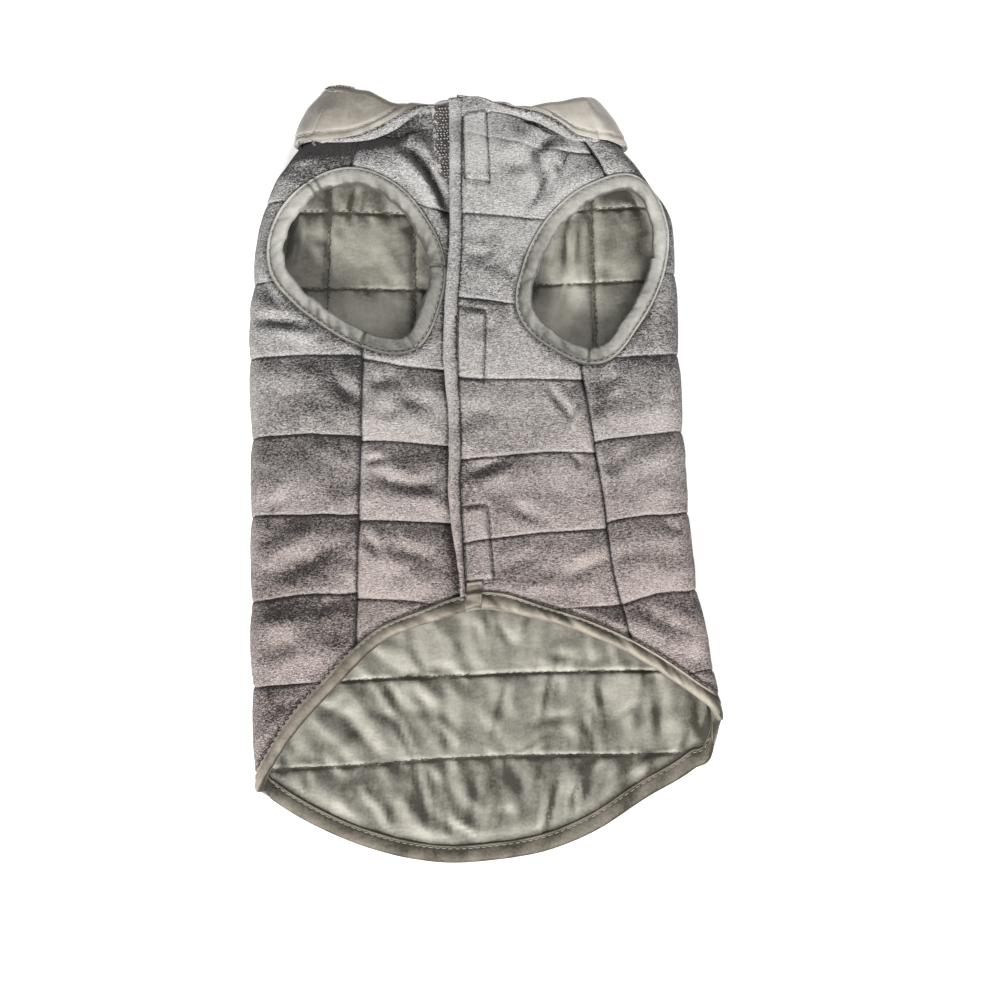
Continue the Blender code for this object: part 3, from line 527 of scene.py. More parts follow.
def graded(start, end, stops, fine, coarse, reach):
    """Places from start to end: fine apart at the stops, and coarse apart further than reach
    from them."""
    at = np.linspace(start, end, 6000)
    near = np.min(np.abs(at[:, None] - np.array(stops, float)[None]), axis=1)
    density = 1 / (fine + (coarse - fine) * ease(near / reach))
    count = np.concatenate([[0], np.cumsum((density[1:] + density[:-1]) / 2 * np.diff(at))])
    places = np.interp(np.linspace(0, count[-1], int(count[-1]) + 2), count, at)
    for stop in stops:
        if start <= stop <= end:
            places[np.argmin(np.abs(places - stop))] = stop
    return places


# The form of the tube


def section(y):
    at = Section(y, *(read(SECTIONS, name, y) for name in Section._fields[1:]))
    return at._replace(base=np.maximum(at.base, 0))


def fold_width(at):
    return FOLD_SHAPE * at.height / 2


def top(x, y, panel):
    """Height of the tube's upper side, for the over panel, the under panel or the back's."""
    at = section(y)
    middle, half = (at.left + at.right) / 2, (at.right - at.left) / 2
    flat = half - fold_width(at)
    into_fold = np.clip((abs(x - middle) - flat) / fold_width(at), 0, 1)
    side = at.base + at.height / 2 * (1 + np.sqrt(1 - into_fold**2))
    side = side + at.crown * (1 - np.clip(abs(x - middle) / flat, 0, 1) ** 2)
    from_lap = x - read(LINES, "lap", y)
    if panel == "under":
        side = side - LAP_STEP * ease((from_lap + UNDER_SLOPE) / UNDER_SLOPE)
    if panel == "over":
        side = side + LAP_STEP * (1 - ease(from_lap / OVER_SLOPE))
    return side


# At gives x and z for places across and heights y, and belly says which places are on the belly
# side
Form = namedtuple("Form", "at belly surface")


def back_at(lap, y):
    """From the right seam (0) by the right fold (1 to 2), across the back (2 to 4) and by the
    left fold (4 to 5) to the left seam (6)."""
    here = section(y)
    fold = fold_width(here)
    left, right = here.left + fold, here.right - fold
    right_seam, left_seam = read(LINES, "right_seam", y), read(LINES, "left_seam", y)
    right_turn, left_turn = np.pi * (1.5 - lap), np.pi * (lap - 4.5)
    where = [lap < 1, lap <= 2, lap < 4, lap <= 5]
    first = right_seam + (right - right_seam) * lap
    last = left + (left_seam - left) * (lap - 5)
    bends = [first, right + fold * np.cos(right_turn), right + (left - right) * (lap - 2) / 2]
    x = np.select(where, [*bends, left - fold * np.cos(left_turn)], last)
    bends = [here.base + here.height / 2 * (1 + np.sin(turn)) for turn in (right_turn, left_turn)]
    upper = top(x, y, "back")
    z = np.select(where, [upper, bends[0], here.base + 0 * x, bends[1]], upper)
    return x, z


def under_at(part, y):
    """0 at the left seam, 1 at the under panel's hidden edge."""
    seam = read(LINES, "left_seam", y)
    x = seam + (read(LINES, "lap", y) + LAP - seam) * part
    return x, top(x, y, "under")


def over_at(part, y, inside=TUCK):
    """0 inside the over panel's rolled band, 1 at the right seam."""
    edge = read(BAND_EDGES, "right", y) - inside
    x = edge + (read(LINES, "right_seam", y) - edge) * part
    return x, top(x, y, "over")


def band_at(part, y):
    """The outer edge of the rolled band."""
    x = read(BAND_EDGES, "left", y) + 0 * part
    return x, top(x, y, "over")


def everywhere(part):
    return np.full(np.shape(part), True)


BACK = Form(back_at, lambda lap: (lap < 1.5) | (lap > 4.5), "back")
UNDER = Form(under_at, everywhere, "under")
OVER = Form(over_at, everywhere, "over")
OVER_COLLAR = OVER._replace(at=lambda part, y: over_at(part, y, 1))
BAND_EDGE = OVER._replace(at=band_at)


def hem_slope(x, name):
    step = HEM_REACH / 2
    slope = (read(HEM, name, x + step) - read(HEM, name, x - step)) / HEM_REACH
    return np.minimum(np.hypot(1, slope), HEM_STEEPEST)


def hem(x, belly, inset):
    heights = [read(HEM, name, x) + inset * hem_slope(x, name) for name in ("belly", "back")]
    return np.where(belly, *heights)


def neck(x, belly, inset):
    return np.where(belly, read(NECK, "belly", x), read(NECK, "back", x)) - inset


def hem_distance(x, y, belly):
    away = [(y - read(HEM, name, x)) / hem_slope(x, name) for name in ("belly", "back")]
    return np.where(belly, *away)


def meet(form, places, outline, inset):
    """The heights at which a form's columns meet an outline."""
    y = np.zeros(np.broadcast(places, inset).shape)
    for _ in range(30):
        y = (y + outline(form.at(places, y)[0], form.belly(places), inset)) / 2
    return y


def armhole_radius(side, angle):
    """The outer edge of the armhole's binding, in degrees round the hole's middle."""
    angles = np.array([row.angle for row in ARMHOLES])
    radii = [getattr(row, side) for row in ARMHOLES]
    return through(
        np.concatenate([angles - 360, angles, angles + 360]), radii * 3, np.mod(angle, 360)
    )


def outside_armhole(x, y, side):
    """How far a place in plan lies outside the outer edge of an armhole's binding."""
    dx, dy = x - ARMHOLE_MIDDLE[side][0], y - ARMHOLE_MIDDLE[side][1]
    return np.hypot(dx, dy) - armhole_radius(side, np.degrees(np.arctan2(dy, dx)))


# Meshes


def add_mesh(name, points, faces, materials, indices=None):
    mesh = bpy.data.meshes.new(name)
    mesh.from_pydata((np.asarray(points) * MM).tolist(), [], faces)
    mesh.polygons.foreach_set("use_smooth", np.ones(len(faces), bool))
    for material in materials:
        mesh.materials.append(material)
    if indices is not None:
        mesh.polygons.foreach_set("material_index", np.asarray(indices, np.int32))
    mesh.update()
    piece = bpy.data.objects.new(name, mesh)
    bpy.context.scene.collection.objects.link(piece)
    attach(piece, "root")
    return piece


def vertex_normals(points, faces):
    """Area-weighted normals of points that these triangles and quads join."""
    ring = np.array([face if len(face) == 4 else (*face, face[0]) for face in faces])
    square = np.cross(
        points[ring[:, 2]] - points[ring[:, 0]], points[ring[:, 3]] - points[ring[:, 1]]
    )
    total = np.zeros_like(points)
    for k in range(4):
        np.add.at(total, ring[:, k], square)
    length = np.linalg.norm(total, axis=1, keepdims=True)
    return total / np.maximum(length, 1e-9)


def grid_faces(y, dropped=None):
    """Faces of a grid of points. Points of a column at one height, where an edge has cut it, are
    one."""
    columns, rows = y.shape
    new = np.concatenate([np.ones((columns, 1), bool), np.abs(np.diff(y, axis=1)) > 1e-6], axis=1)
    first = np.maximum.accumulate(np.where(new, np.arange(rows)[None], 0), axis=1)
    number = np.arange(columns)[:, None] * rows + first
    corners = np.stack([number[:-1, :-1], number[1:, :-1], number[1:, 1:], number[:-1, 1:]], -1)
    kept = np.ones(corners.shape[:2], bool) if dropped is None else ~dropped
    a, b, c, d = np.moveaxis(corners, -1, 0)
    kept &= ~((a == d) & (b == c))
    whole = kept & (a != d) & (b != c)
    faces = corners[whole].tolist()
    faces += corners[kept & (a == d)][:, [0, 1, 2]].tolist()
    faces += corners[kept & (b == c)][:, [0, 1, 3]].tolist()
    return [tuple(face) for face in faces]


def lit_by_facing(points, faces, back_side, way):
    """How much each point of a surface faces this way, from 0 to 1: painted light, as the pile
    and the satin are drawn lighter where they face the light's way."""
    square = vertex_normals(points, faces) * (-1 if back_side else 1)
    return np.clip(0.5 + square @ way, 0, 1)


def mark(piece, name, values):
    """A value at each point, for the materials to read."""
    attribute = piece.data.attributes.new(name, "FLOAT", "POINT")
    attribute.data.foreach_set("value", np.asarray(values, np.float32))


def shell(
    name, points, faces, outer, inner, materials, square=None, painted_shade_and_tone=0.0, way=PILE_LIGHT_WAY, lines=()
):
    """A closed shell of cloth: points moved along their normals by outer, and by inner for the
    other side. The second material is the other side's. The shade values paint places of it
    darker, as painted shade with some of the cloth's own tone, or lighter below zero, as painted
    light, and the cloth is painted lighter where it faces this way, the way the light falls.
    Lines has signed distances to sewn lines."""
    used = np.unique(np.concatenate([np.array(face) for face in faces]))
    renumber = np.full(len(points), -1)
    renumber[used] = np.arange(len(used))
    points = points[used]
    outer, inner, painted_shade_and_tone = (
        np.broadcast_to(value, renumber.shape)[used] for value in (outer, inner, painted_shade_and_tone)
    )
    faces = [tuple(renumber[list(face)].tolist()) for face in faces]
    square = vertex_normals(points, faces) if square is None else square[used]
    upper, lower = points + square * outer[:, None], points + square * inner[:, None]
    lift = len(points)
    edges = set()
    for face in faces:
        edges.update(zip(face, face[1:] + face[:1]))
    rim = [(b, a, a + lift, b + lift) for a, b in edges if (b, a) not in edges]
    closed = faces + [tuple(k + lift for k in reversed(face)) for face in faces] + rim
    index = [0] * len(faces) + [len(materials) - 1] * len(faces) + [0] * len(rim)
    whole = np.concatenate([upper, lower])
    whole[:, 2] = np.maximum(whole[:, 2], FLOOR_GAP)
    nap = np.concatenate([lit_by_facing(upper, faces, False, way), lit_by_facing(lower, faces, True, way)])
    piece = add_mesh(name, whole, closed, materials, index)
    # The nap attribute is painted light and shade: lighter where the cloth faces the light's way,
    # darker by the painted shade
    mark(piece, "nap", np.clip(nap - np.concatenate([painted_shade_and_tone, painted_shade_and_tone]), NAP_LOW, 1))
    for kind, values in zip(("line", "upright"), lines):
        mark(piece, kind, np.tile(np.broadcast_to(values, renumber.shape)[used], 2))
    return piece


def ring_faces(near, far):
    """Quads between rings of point numbers and the rings next to them."""
    ahead = np.roll(near, -1, -1), np.roll(far, -1, -1)
    return np.stack([near, *ahead, far], -1).reshape(-1, 4).tolist()


def loft(name, stations, materials, closed, painted_shade_and_tone=0.0, way=PILE_LIGHT_WAY):
    """A bar through closed sections of points, with painted light and shade as a shell has."""
    stations = np.asarray(stations)
    count, sides = stations.shape[:2]
    number = np.arange(count * sides).reshape(count, sides)
    near, far = number, np.roll(number, -1, 0)
    if not closed:
        near, far = near[:-1], far[:-1]
    faces = ring_faces(near, far)
    if not closed:
        faces += [number[0, ::-1].tolist(), number[-1].tolist()]
    points = stations.reshape(-1, 3)
    piece = add_mesh(name, points, faces, materials)
    nap = lit_by_facing(points, [face for face in faces if len(face) == 4], False, way)
    # The nap attribute is painted light and shade, as on a shell
    mark(piece, "nap", np.clip(nap - np.broadcast_to(painted_shade_and_tone, (count, sides)).ravel(), NAP_LOW, 1))
    mark(piece, "line", np.full(len(points), FAR))
    return piece


def threads(name, paths, radius, materials):
    """Round threads of one radius, each along its own path of points. All paths have as many
    points."""
    paths = np.asarray(paths, float)
    count, steps = paths.shape[:2]
    along = unit(np.gradient(paths, axis=1))
    side = unit(np.cross(along, ASLANT))
    up = np.cross(side, along)
    turn = np.arange(THREAD_SIDES) * 2 * np.pi / THREAD_SIDES
    share = np.linspace(0, 1, steps)
    thick = radius * np.minimum(1, 0.5 + 3 * np.minimum(share, 1 - share))[None, :, None, None]
    ring = side[:, :, None] * np.cos(turn)[:, None] + up[:, :, None] * np.sin(turn)[:, None]
    rings = paths[:, :, None] + thick * ring
    number = np.arange(count * steps * THREAD_SIDES).reshape(count, steps, THREAD_SIDES)
    faces = ring_faces(number[:, :-1], number[:, 1:])
    faces += number[:, 0, ::-1].tolist() + number[:, -1].tolist()
    points = np.maximum(rings.reshape(-1, 3), (-np.inf, -np.inf, FLOOR_GAP))
    piece = add_mesh(name, points, faces, materials)
    return piece


def stitches(path, square, lift=0.22, length=STITCH, step=STITCH_STEP, slant=0.0, seed=61):
    """Paths of the stitches along a line on cloth: each comes up, lies on the cloth and goes
    back in."""
    lengths = lengths_along(path)
    starts = np.arange(step / 3, lengths[-1] - length, step)
    random = np.random.default_rng(seed)
    starts = starts + random.uniform(-0.2, 0.2, len(starts))
    share = np.linspace(0, 1, 6)
    at = starts[:, None] + length * share
    points = np.stack([np.interp(at, lengths, path[:, k]) for k in range(3)], -1)
    normal = np.stack([np.interp(at, lengths, square[:, k]) for k in range(3)], -1)
    across = np.cross(normal, unit(np.gradient(points, axis=1)))
    aside = (
        slant * (share - 0.5)
        + random.uniform(-0.12, 0.12, len(starts))[:, None] * (share - 0.5) * 2
    )
    return (
        points + normal * (lift - 0.55 * (2 * share - 1) ** 4)[:, None] + across * aside[..., None]
    )


class Cloth:
    """A piece's surface, to lay stitches on."""

    def __init__(self, piece):
        points = [tuple(vertex.co / MM) for vertex in piece.data.vertices]
        faces = [list(polygon.vertices) for polygon in piece.data.polygons]
        self.tree = BVHTree.FromPolygons(points, faces)

    def below(self, x, y, height=ABOVE):
        """Points and normals where the cloth is first met from a height, at places in plan."""
        found = []
        for a, b in zip(x, y):
            point, normal = self.tree.ray_cast((a, b, height), (0, 0, -1))[:2]
            if point is not None:
                found.append((*point, *normal))
        found = np.array(found).reshape(-1, 6)
        return found[:, :3], np.where(found[:, 5:] < 0, -found[:, 3:], found[:, 3:])


def sew(cloth, x, y, height=ABOVE, step=0.6, **how):
    """Stitch paths along corners in plan, on the cloth below them."""
    lengths = lengths_along(np.stack([x, y], 1))
    at = np.linspace(0, lengths[-1], int(lengths[-1] / step) + 2)
    points, square = cloth.below(np.interp(at, lengths, x), np.interp(at, lengths, y), height)
    return stitches(points, square, **how)


# Relief


def creased(x, y, table, spread=CREASE_SPREAD):
    """The height of a table's creases at places in plan. A crease has a soft ridge along each
    side."""
    total = np.zeros(np.shape(x))
    for crease in table:
        width = spread * crease.width
        reach = 3.5 * width + abs(crease.bow) + 1
        low_x, high_x = sorted((crease.x1, crease.x2))
        low_y, high_y = sorted((crease.y1, crease.y2))
        near = (x > low_x - reach) & (x < high_x + reach)
        near &= (y > low_y - reach) & (y < high_y + reach)
        if not near.any():
            continue
        u, v = x[near], y[near]
        dx, dy = crease.x2 - crease.x1, crease.y2 - crease.y1
        length = np.hypot(dx, dy)
        t = ((u - crease.x1) * dx + (v - crease.y1) * dy) / length**2
        side = ((v - crease.y1) * dx - (u - crease.x1) * dy) / length
        side = (side - crease.bow * 4 * t * (1 - t) - 0.6 * noise(t * length, 0, 9, 5)) / width
        t = (t + 0.15) / 1.3
        fade = ease(t / 0.45) * ease((1 - t) / 0.45)
        total[near] += CREASE_GAIN * crease.height * fade * (
            bell(side) - 0.3 * bell((abs(side) - 2.0) / 1.1)
        )
    return total


def quilting_distance(quilt):
    return np.abs(quilt - np.round(quilt)) * QUILT_STEP


def quilted(quilt, rise, reach, notch, notch_width):
    """Cloth drawn down to the nearest line of quilting, with the stitched notch along it."""
    away = quilting_distance(quilt)
    return -rise * (1 - np.clip(away / reach, 0, 1)) ** 2 - notch * bell(away / notch_width)


def patches(x, y):
    """The stitched rectangles on the over panel: the notch round each with a little lift inside
    it, how much darker the cloth is painted (painted shade in the notch, painted light on the
    lifted cloth inside it), and the signed distance to their stitches."""
    total, shade, line = np.zeros(np.shape(x)), np.zeros(np.shape(x)), np.full(np.shape(x), NO_LINE)
    for patch, lit in zip(PATCHES, PATCH_SHADES):
        corners = np.array(patch).reshape(4, 2)
        nearest, inside = np.full(np.shape(x), np.inf), np.full(np.shape(x), np.inf)
        for a, b in zip(corners, np.roll(corners, -1, 0)):
            along = b - a
            length = np.linalg.norm(along)
            t = np.clip(((x - a[0]) * along[0] + (y - a[1]) * along[1]) / length**2, 0, 1)
            away = np.hypot(x - a[0] - t * along[0], y - a[1] - t * along[1])
            nearest = np.minimum(nearest, away)
            inside = np.minimum(inside, -((y - a[1]) * along[0] - (x - a[0]) * along[1]) / length)
        total += -1.3 * bell(nearest / 0.65) + 0.8 * ease(inside / 1.5)
        shade += 0.4 * bell(nearest / 0.8) + lit * ease(inside / 1.5)
        line = both(line, np.where(inside > 0, inside, -nearest))
    return total, shade, line


def uprights(x, y, reach):
    """How far the upright quilting draws the cloth down: a whole at its lines, and none beyond
    reach."""
    total = np.zeros(np.shape(x))
    for line in UPRIGHTS:
        t = (UPRIGHT_TOP - y) / (UPRIGHT_TOP - line.end_y)
        away = np.abs(x - line.top_x - (line.end_x - line.top_x) * t)
        total += -np.clip(1 - away / reach, 0, 1) ** 2 * ease((1 - t) / 0.04)
    return total


def upright_distance(x, y):
    """The signed distance to the nearest upright quilting line. None is near past its end."""
    line = np.full(np.shape(x), NO_LINE)
    for upright in UPRIGHTS:
        t = (UPRIGHT_TOP - y) / (UPRIGHT_TOP - upright.end_y)
        away = x - upright.top_x - (upright.end_x - upright.top_x) * t - 0.3 * noise(y, 0, 5, 13)
        away = away + FAR * ease((t - 0.98) / 0.04)
        line = both(line, away)
    return line


def edge_distance(x, y, belly):
    """How far a place is from the bound edges, past their bindings."""
    away = np.where(belly, hem_distance(x, y, True), hem_distance(x, y, False)) - BINDING
    for side in ("left", "right"):
        away = np.minimum(away, np.where(belly, outside_armhole(x, y, side), 99))
    return away


def right_front(x, y, belly):
    """1 on the over panel, away from its sides."""
    return np.where(belly, ease((x - read(LINES, "lap", y) + 2) / 4) * ease((58 - x) / 10), 0)


def plush_relief(x, y, quilt, belly):
    """The quilted plush's rises and dips. It is nipped in beside a binding."""
    away = quilting_distance(quilt)
    front = right_front(x, y, belly)  # it lies flatter
    lively = 1 - 0.5 * front
    faint = 1 - 0.75 * front * ease((y - 140) / 8)
    relief = (quilted(quilt, 2.0, 15, 0.0, 0.8) * lively - 1.1 * bell(away / 0.7)) * faint
    relief += (1.0 * folds(x, y, 24, 12, 30, 1) + 0.35 * folds(x, y, -18, 6, 15, 2)) * lively
    relief += 0.5 * noise(x, y / 3, 5, 6) * bell(away / 7) + 0.12 * noise(x, y, 3.2, 7)
    relief += 0.8 * ease(away / 12) * lively * faint
    relief += np.where(belly, creased(x, y, TOP_CREASES), creased(-x, y, LINING_CREASES) * 0.8)
    edge = edge_distance(x, y, belly)
    at = section(y)
    to_side = np.minimum(x - at.left, at.right - x)
    relief = relief * (0.42 + 0.58 * ease(to_side / 12))  # the folded sides are drawn flatter
    return relief * (0.15 + 0.85 * ease(edge / 7)) - 0.7 * (1 - ease(edge / 1.6))


def under_collar(x, y):
    """How dark the pile is that the collar covers and shades, at its left and from x 27 to 42 at
    its right."""
    edge = np.where(x < 0, np.interp(x, *COLLAR_SHADE_LEFT), np.interp(x, *COLLAR_SHADE_RIGHT))
    return 1.1 * ease((y - edge + 4) / 4) * ease((-12 - x) / 6 + 9 * ease((x - 20) / 10))


def pile_shade(x, y, belly):
    """How much darker the pile is painted: brushed patches with painted shade and light in folds,
    painted shade under the collar, a painted shadow beside each binding, painted light on the
    chest, and random tone.
    """
    # painted shadow on the pile beside each binding
    beside = 0.4 * bell(edge_distance(x, y, belly) / 1.0)
    front = ease((x + 10) / 8) * ease((70 - x) / 6)
    beside -= 0.2 * ease((y - 80) / 50) * front  # painted light: the chest is drawn lighter towards the neck
    marks = tone_marks(x, y, BRUSHED_AND_SHADED) + under_collar(x, y)
    return np.where(belly, marks + beside, 0) + 0.12 * noise(x, y, 30, 14)


def seamed(x, y, side):
    """The valley along a side seam."""
    seam = np.abs(x - read(LINES, side + "_seam", y) - 0.5 * noise(y, 0, 20, 8))
    return -0.9 * np.clip(1 - seam / 5, 0, 1) ** 2 - 1.2 * bell(seam / 0.8)


# Cloth panels


def quilt_rows(*sizes):
    """Rows for a panel's points, counted as the quilting lines are and closest together by them.
    The sizes are graded's, in millimetres."""
    first, last = BACK_QUILT[0][0], BACK_QUILT[-1][0]
    return graded(first, last, range(first, last + 1), *(size / QUILT_STEP for size in sizes))


ROWS = quilt_rows(0.45, 1.5, 4.5)
COARSE_ROWS = quilt_rows(0.6, 1.8, 5)
ROUND = 342  # from seam to seam round the back, about
LAP_LENGTHS = [0, 45, 71, 266, 292, ROUND]  # how far round the back each whole lap is, about
LAPS = [0, 1, 2, 4, 5, 6]

Panel = namedtuple("Panel", "x y z quilt place belly")


def line_at(line, place):
    """The height of a quilting line at a place across its panel, with a slight wander."""
    number, *heights = line
    across, length = (BELLY_THIRDS, 70) if len(heights) == len(BELLY_THIRDS) else (BACK_LAPS, 60)
    return through(across, heights, place) + 0.5 * noise(place * length, number * 37.0, 13, 11)


def lay(form, places, lines, rows, low_inset, high_inset):
    """A panel's points on its columns: rows that follow the quilting, cut off at the hem and the
    neck."""
    numbers = [line[0] for line in lines]
    levels = np.array([line_at(line, places) for line in lines])
    heights = np.array([np.interp(rows, numbers, level) for level in levels.T])
    low, high = meet(form, places, hem, low_inset), meet(form, places, neck, high_inset)
    y = np.clip(heights, low[:, None], high[:, None])
    quilt = np.array([np.interp(cut, height, rows) for cut, height in zip(y, heights)])
    place = np.repeat(places[:, None], len(rows), 1)
    x, z = form.at(place, y)
    return Panel(x, y, z, quilt, place, form.belly(place))


def cut_armholes(panel, sides, surface):
    """The faces to drop inside the armholes, and the panel with its points along them drawn to
    the edge."""
    x, y, z = panel.x.copy(), panel.y.copy(), panel.z.copy()
    dropped = np.zeros((x.shape[0] - 1, x.shape[1] - 1), bool)
    for side in sides:
        away = np.where(panel.belly, outside_armhole(x, y, side) + TUCK, 99.0)
        middle = (away[:-1, :-1] + away[1:, :-1] + away[1:, 1:] + away[:-1, 1:]) / 4
        drop = middle < 0
        some = np.zeros(x.shape, int)
        for i, j in ((0, 0), (1, 0), (1, 1), (0, 1)):
            some[i : i + drop.shape[0], j : j + drop.shape[1]] += drop
        edge = (some > 0) & (some < 4)
        centre = ARMHOLE_MIDDLE[side]
        dx, dy = x[edge] - centre[0], y[edge] - centre[1]
        reach = (np.hypot(dx, dy) - away[edge]) / np.hypot(dx, dy)
        x[edge], y[edge] = centre[0] + dx * reach, centre[1] + dy * reach
        z[edge] = top(x[edge], y[edge], surface)
        dropped |= drop
    return panel._replace(x=x, y=y, z=z), dropped


def quilt_line(x, y, quilt, belly):
    """The signed distance to the nearest line of quilting that shows."""
    faint = right_front(x, y, belly) * ease((y - 140) / 8)
    return counted(quilt, QUILT_STEP) + 2 * FAR * faint


def back_sink(x, y, quilt, place, belly):
    """The back's plush relief, and how far it presses the cloth below it in."""
    relief = plush_relief(x, y, quilt, belly) + np.where(belly, 0, 1.2 * uprights(x, y, 9))
    right = np.where(belly & (place < 3), seamed(x, y, "right"), 0)
    relief += right + np.where(belly & (place > 3), seamed(x, y, "left"), 0)
    relief = np.where(belly, relief + 0.6, np.clip(relief, -1.6, 0))
    return relief, np.minimum(relief + 1.3, 0)


def make_back(plush):
    lengths = graded(0, ROUND, [0, ROUND], 0.6, 1.35, 4)
    # the underside needs fewer columns
    lengths = np.concatenate(
        [lengths[lengths <= 75], np.linspace(77.5, 259.5, 55), lengths[lengths >= 262]]
    )
    laps = np.interp(lengths, LAP_LENGTHS, LAPS)
    panel, dropped = cut_armholes(
        lay(BACK, laps, BACK_QUILT, ROWS, BINDING - TUCK, 0), ("left", "right"), "back"
    )
    x, y, z, quilt, place, belly = (field.ravel() for field in panel)
    relief, sink = back_sink(x, y, quilt, place, belly)
    faces = grid_faces(panel.y, dropped)
    painted_shade_and_tone = pile_shade(x, y, belly)
    # Painted shade: the tube's folded sides drawn darker, the left one most
    painted_shade_and_tone += np.where(
        belly, np.where(x < 0, 0.15 + 0.1 * bell((y - 15) / 30), 0.02 + 0.14 * bell((y - 45) / 22)),
        0,
    )
    lines = quilt_line(x, y, quilt, belly)
    for seam in ("left_seam", "right_seam"):
        away = x - read(LINES, seam, y)
        # painted shade in the side seam's valley
        painted_shade_and_tone += np.where(belly, 0.4 * bell(np.abs(away) / 1.0), 0)
        lines = both(lines, np.where(belly, away, NO_LINE))
    # Painted shade on the back beside the left shoulder seam, below the collar
    shoulder = bell((x - read(LINES, "left_seam", y)) / 14) * ease((y - 142) / 10)
    painted_shade_and_tone += np.where(belly & (x < 0), 0.45 * shoulder, 0)
    points = np.stack([x, y, z], 1)
    piece = shell(
        "back_plush", points, faces, relief, sink - PLUSH, [plush], painted_shade_and_tone=painted_shade_and_tone, lines=[lines]
    )
    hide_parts("back_panel")


def make_back_lining(lining):
    lengths = graded(0, ROUND, [71, 266], 1.7, 1.7, 4)
    laps = np.interp(lengths, LAP_LENGTHS, LAPS)
    panel = lay(BACK, laps, BACK_QUILT, COARSE_ROWS, BINDING - TUCK, 0)
    panel, dropped = cut_armholes(panel, ("left", "right"), "back")
    x, y, z, quilt, place, belly = (field.ravel() for field in panel)
    sink = back_sink(x, y, quilt, place, belly)[1]
    away = quilting_distance(quilt)
    share = ease((x + 25) / 50)
    bulge = 2.0 + quilted(quilt, 1.0, 10, 1.0, 0.8) + 0.25 * folds(x, y, 62, 9, 30, 3)
    smooth = 1 - 0.55 * ease((y - 40) / 20)
    for angle, part, seed in ((-52, 1 - share, 15), (72, share, 16)):
        u, v = turned(x + 3 * noise(x, y, 14, 18), y + 3 * noise(x, y, 16, 19), angle)
        bulge += part * facets(u / 2.1, v, 9.5, 0.36, seed) * smooth
    bulge += 0.8 * noise(x, y / 4, 2.6, 4) * bell(away / 4.5)
    upright = upright_distance(x, y)
    bulge += creased(x, y, LINING_CREASES, 0.95) + 1.5 * uprights(x, y, 5)
    bulge -= 0.8 * bell(upright / 0.9) * ease((y + 200) / 250)
    bulge *= 0.15 + 0.85 * ease(edge_distance(x, y, belly) / 7)
    depth = sink - PLUSH - GAP - np.maximum(bulge, 0)
    below = (np.round(quilt) - quilt) * QUILT_STEP
    # Painted shade in the quilting grooves, just below each line, in the SHADED marks, along the
    # upright lines, towards the neck below the armholes' upper edges and beside the bound edges;
    # darker towards the hem by random amounts
    painted_shade_and_tone = (
        0.2 * bell(away / 1.0)
        + 0.14 * np.where(below > 0, bell(below / 9), 0)
        + tone_marks(x, y, SHADED)
    )
    painted_shade_and_tone += 0.2 * bell(upright / 1.5) * ease((y - UPRIGHT_SEEN) / 6)
    painted_shade_and_tone += 0.06 * ease((y - 30) / 30) + 0.35 * ease((y - 128) / 10)
    painted_shade_and_tone += 0.16 * ease((-112 - y) / 24) * (1 + 0.6 * noise(x, y, 19, 12))
    painted_shade_and_tone += 0.5 * bell((edge_distance(x, y, belly) + 0.5) / 2.5)
    points, faces = np.stack([x, y, z], 1), grid_faces(panel.y, dropped)
    lines = [counted(quilt, QUILT_STEP), np.where(y < UPRIGHT_SEEN, FAR, upright)]
    piece = shell(
        "back_inner", points, faces, depth, depth - LINING_THICK, [lining], painted_shade_and_tone=painted_shade_and_tone,
        way=SATIN_LIGHT_WAY, lines=lines,
    )
    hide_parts("back_lining")
    return piece


def make_belly(side, plush, lining):
    left = side == "left"
    seam, coarse = (0, 0.0145) if left else (1, 0.0135)
    parts = graded(0, 1, [seam], 0.008, coarse, 0.05)
    if left:  # the rest is hidden below the over panel
        parts = np.concatenate([parts[parts < 0.78], np.linspace(0.79, 1, 8)])
    form = UNDER if left else OVER
    panel = lay(form, parts, LEFT_QUILT if left else RIGHT_QUILT, ROWS, BINDING - TUCK, 0)
    panel, dropped = cut_armholes(panel, (side,), form.surface)
    x, y, z, quilt, _, belly = (field.ravel() for field in panel)
    relief = plush_relief(x, y, quilt, belly) + seamed(x, y, side) + 0.6
    # painted shade in the side seam's valley
    painted_shade_and_tone = pile_shade(x, y, belly) + 0.4 * bell((x - read(LINES, side + "_seam", y)) / 1.0)
    lines = both(quilt_line(x, y, quilt, belly), x - read(LINES, side + "_seam", y))
    if left:
        beside = ease((x - np.interp(y, *HOOK_LEFT) + 3) / 3) * ease((y - 141) / 3)
        relief = relief * (1 - 0.9 * beside)  # the hook tape lies flat
    else:
        lift, shade, stitched = patches(x, y)
        relief += lift * ease(edge_distance(x, y, belly) / 2)
        painted_shade_and_tone += shade
        lines = both(lines, 2.5 * stitched)
    under = np.minimum(-BELLY - quilted(quilt, 0.8, 8, 0.4, 0.8), relief - 1.2)
    points, faces = np.stack([x, y, z], 1), grid_faces(panel.y, dropped)
    if left:
        painted_shade_and_tone = painted_shade_and_tone - 0.14 * ease((60 - y) / 30)
        past = x - read(BAND_EDGES, "left", y) + 0.5
        painted_shade_and_tone = painted_shade_and_tone + 0.75 * bell(past / (1.2 + 2.0 * ease((-12 - y) / 25)))  # the band shades it
    else:
        # Painted shade in the groove beside the band's stitched edge; the panel a little lighter
        painted_shade_and_tone = painted_shade_and_tone + 0.5 * bell((x - read(BAND_EDGES, "right", y)) / 1.0) - 0.08
        lines = both(lines, x - read(BAND_EDGES, "right", y))
    piece = shell(
        f"belly_{side}_cloth", points, faces, relief, under, [plush, lining], painted_shade_and_tone=painted_shade_and_tone,
        lines=[lines],
    )
    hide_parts("belly_" + side)
    return piece


# Bindings

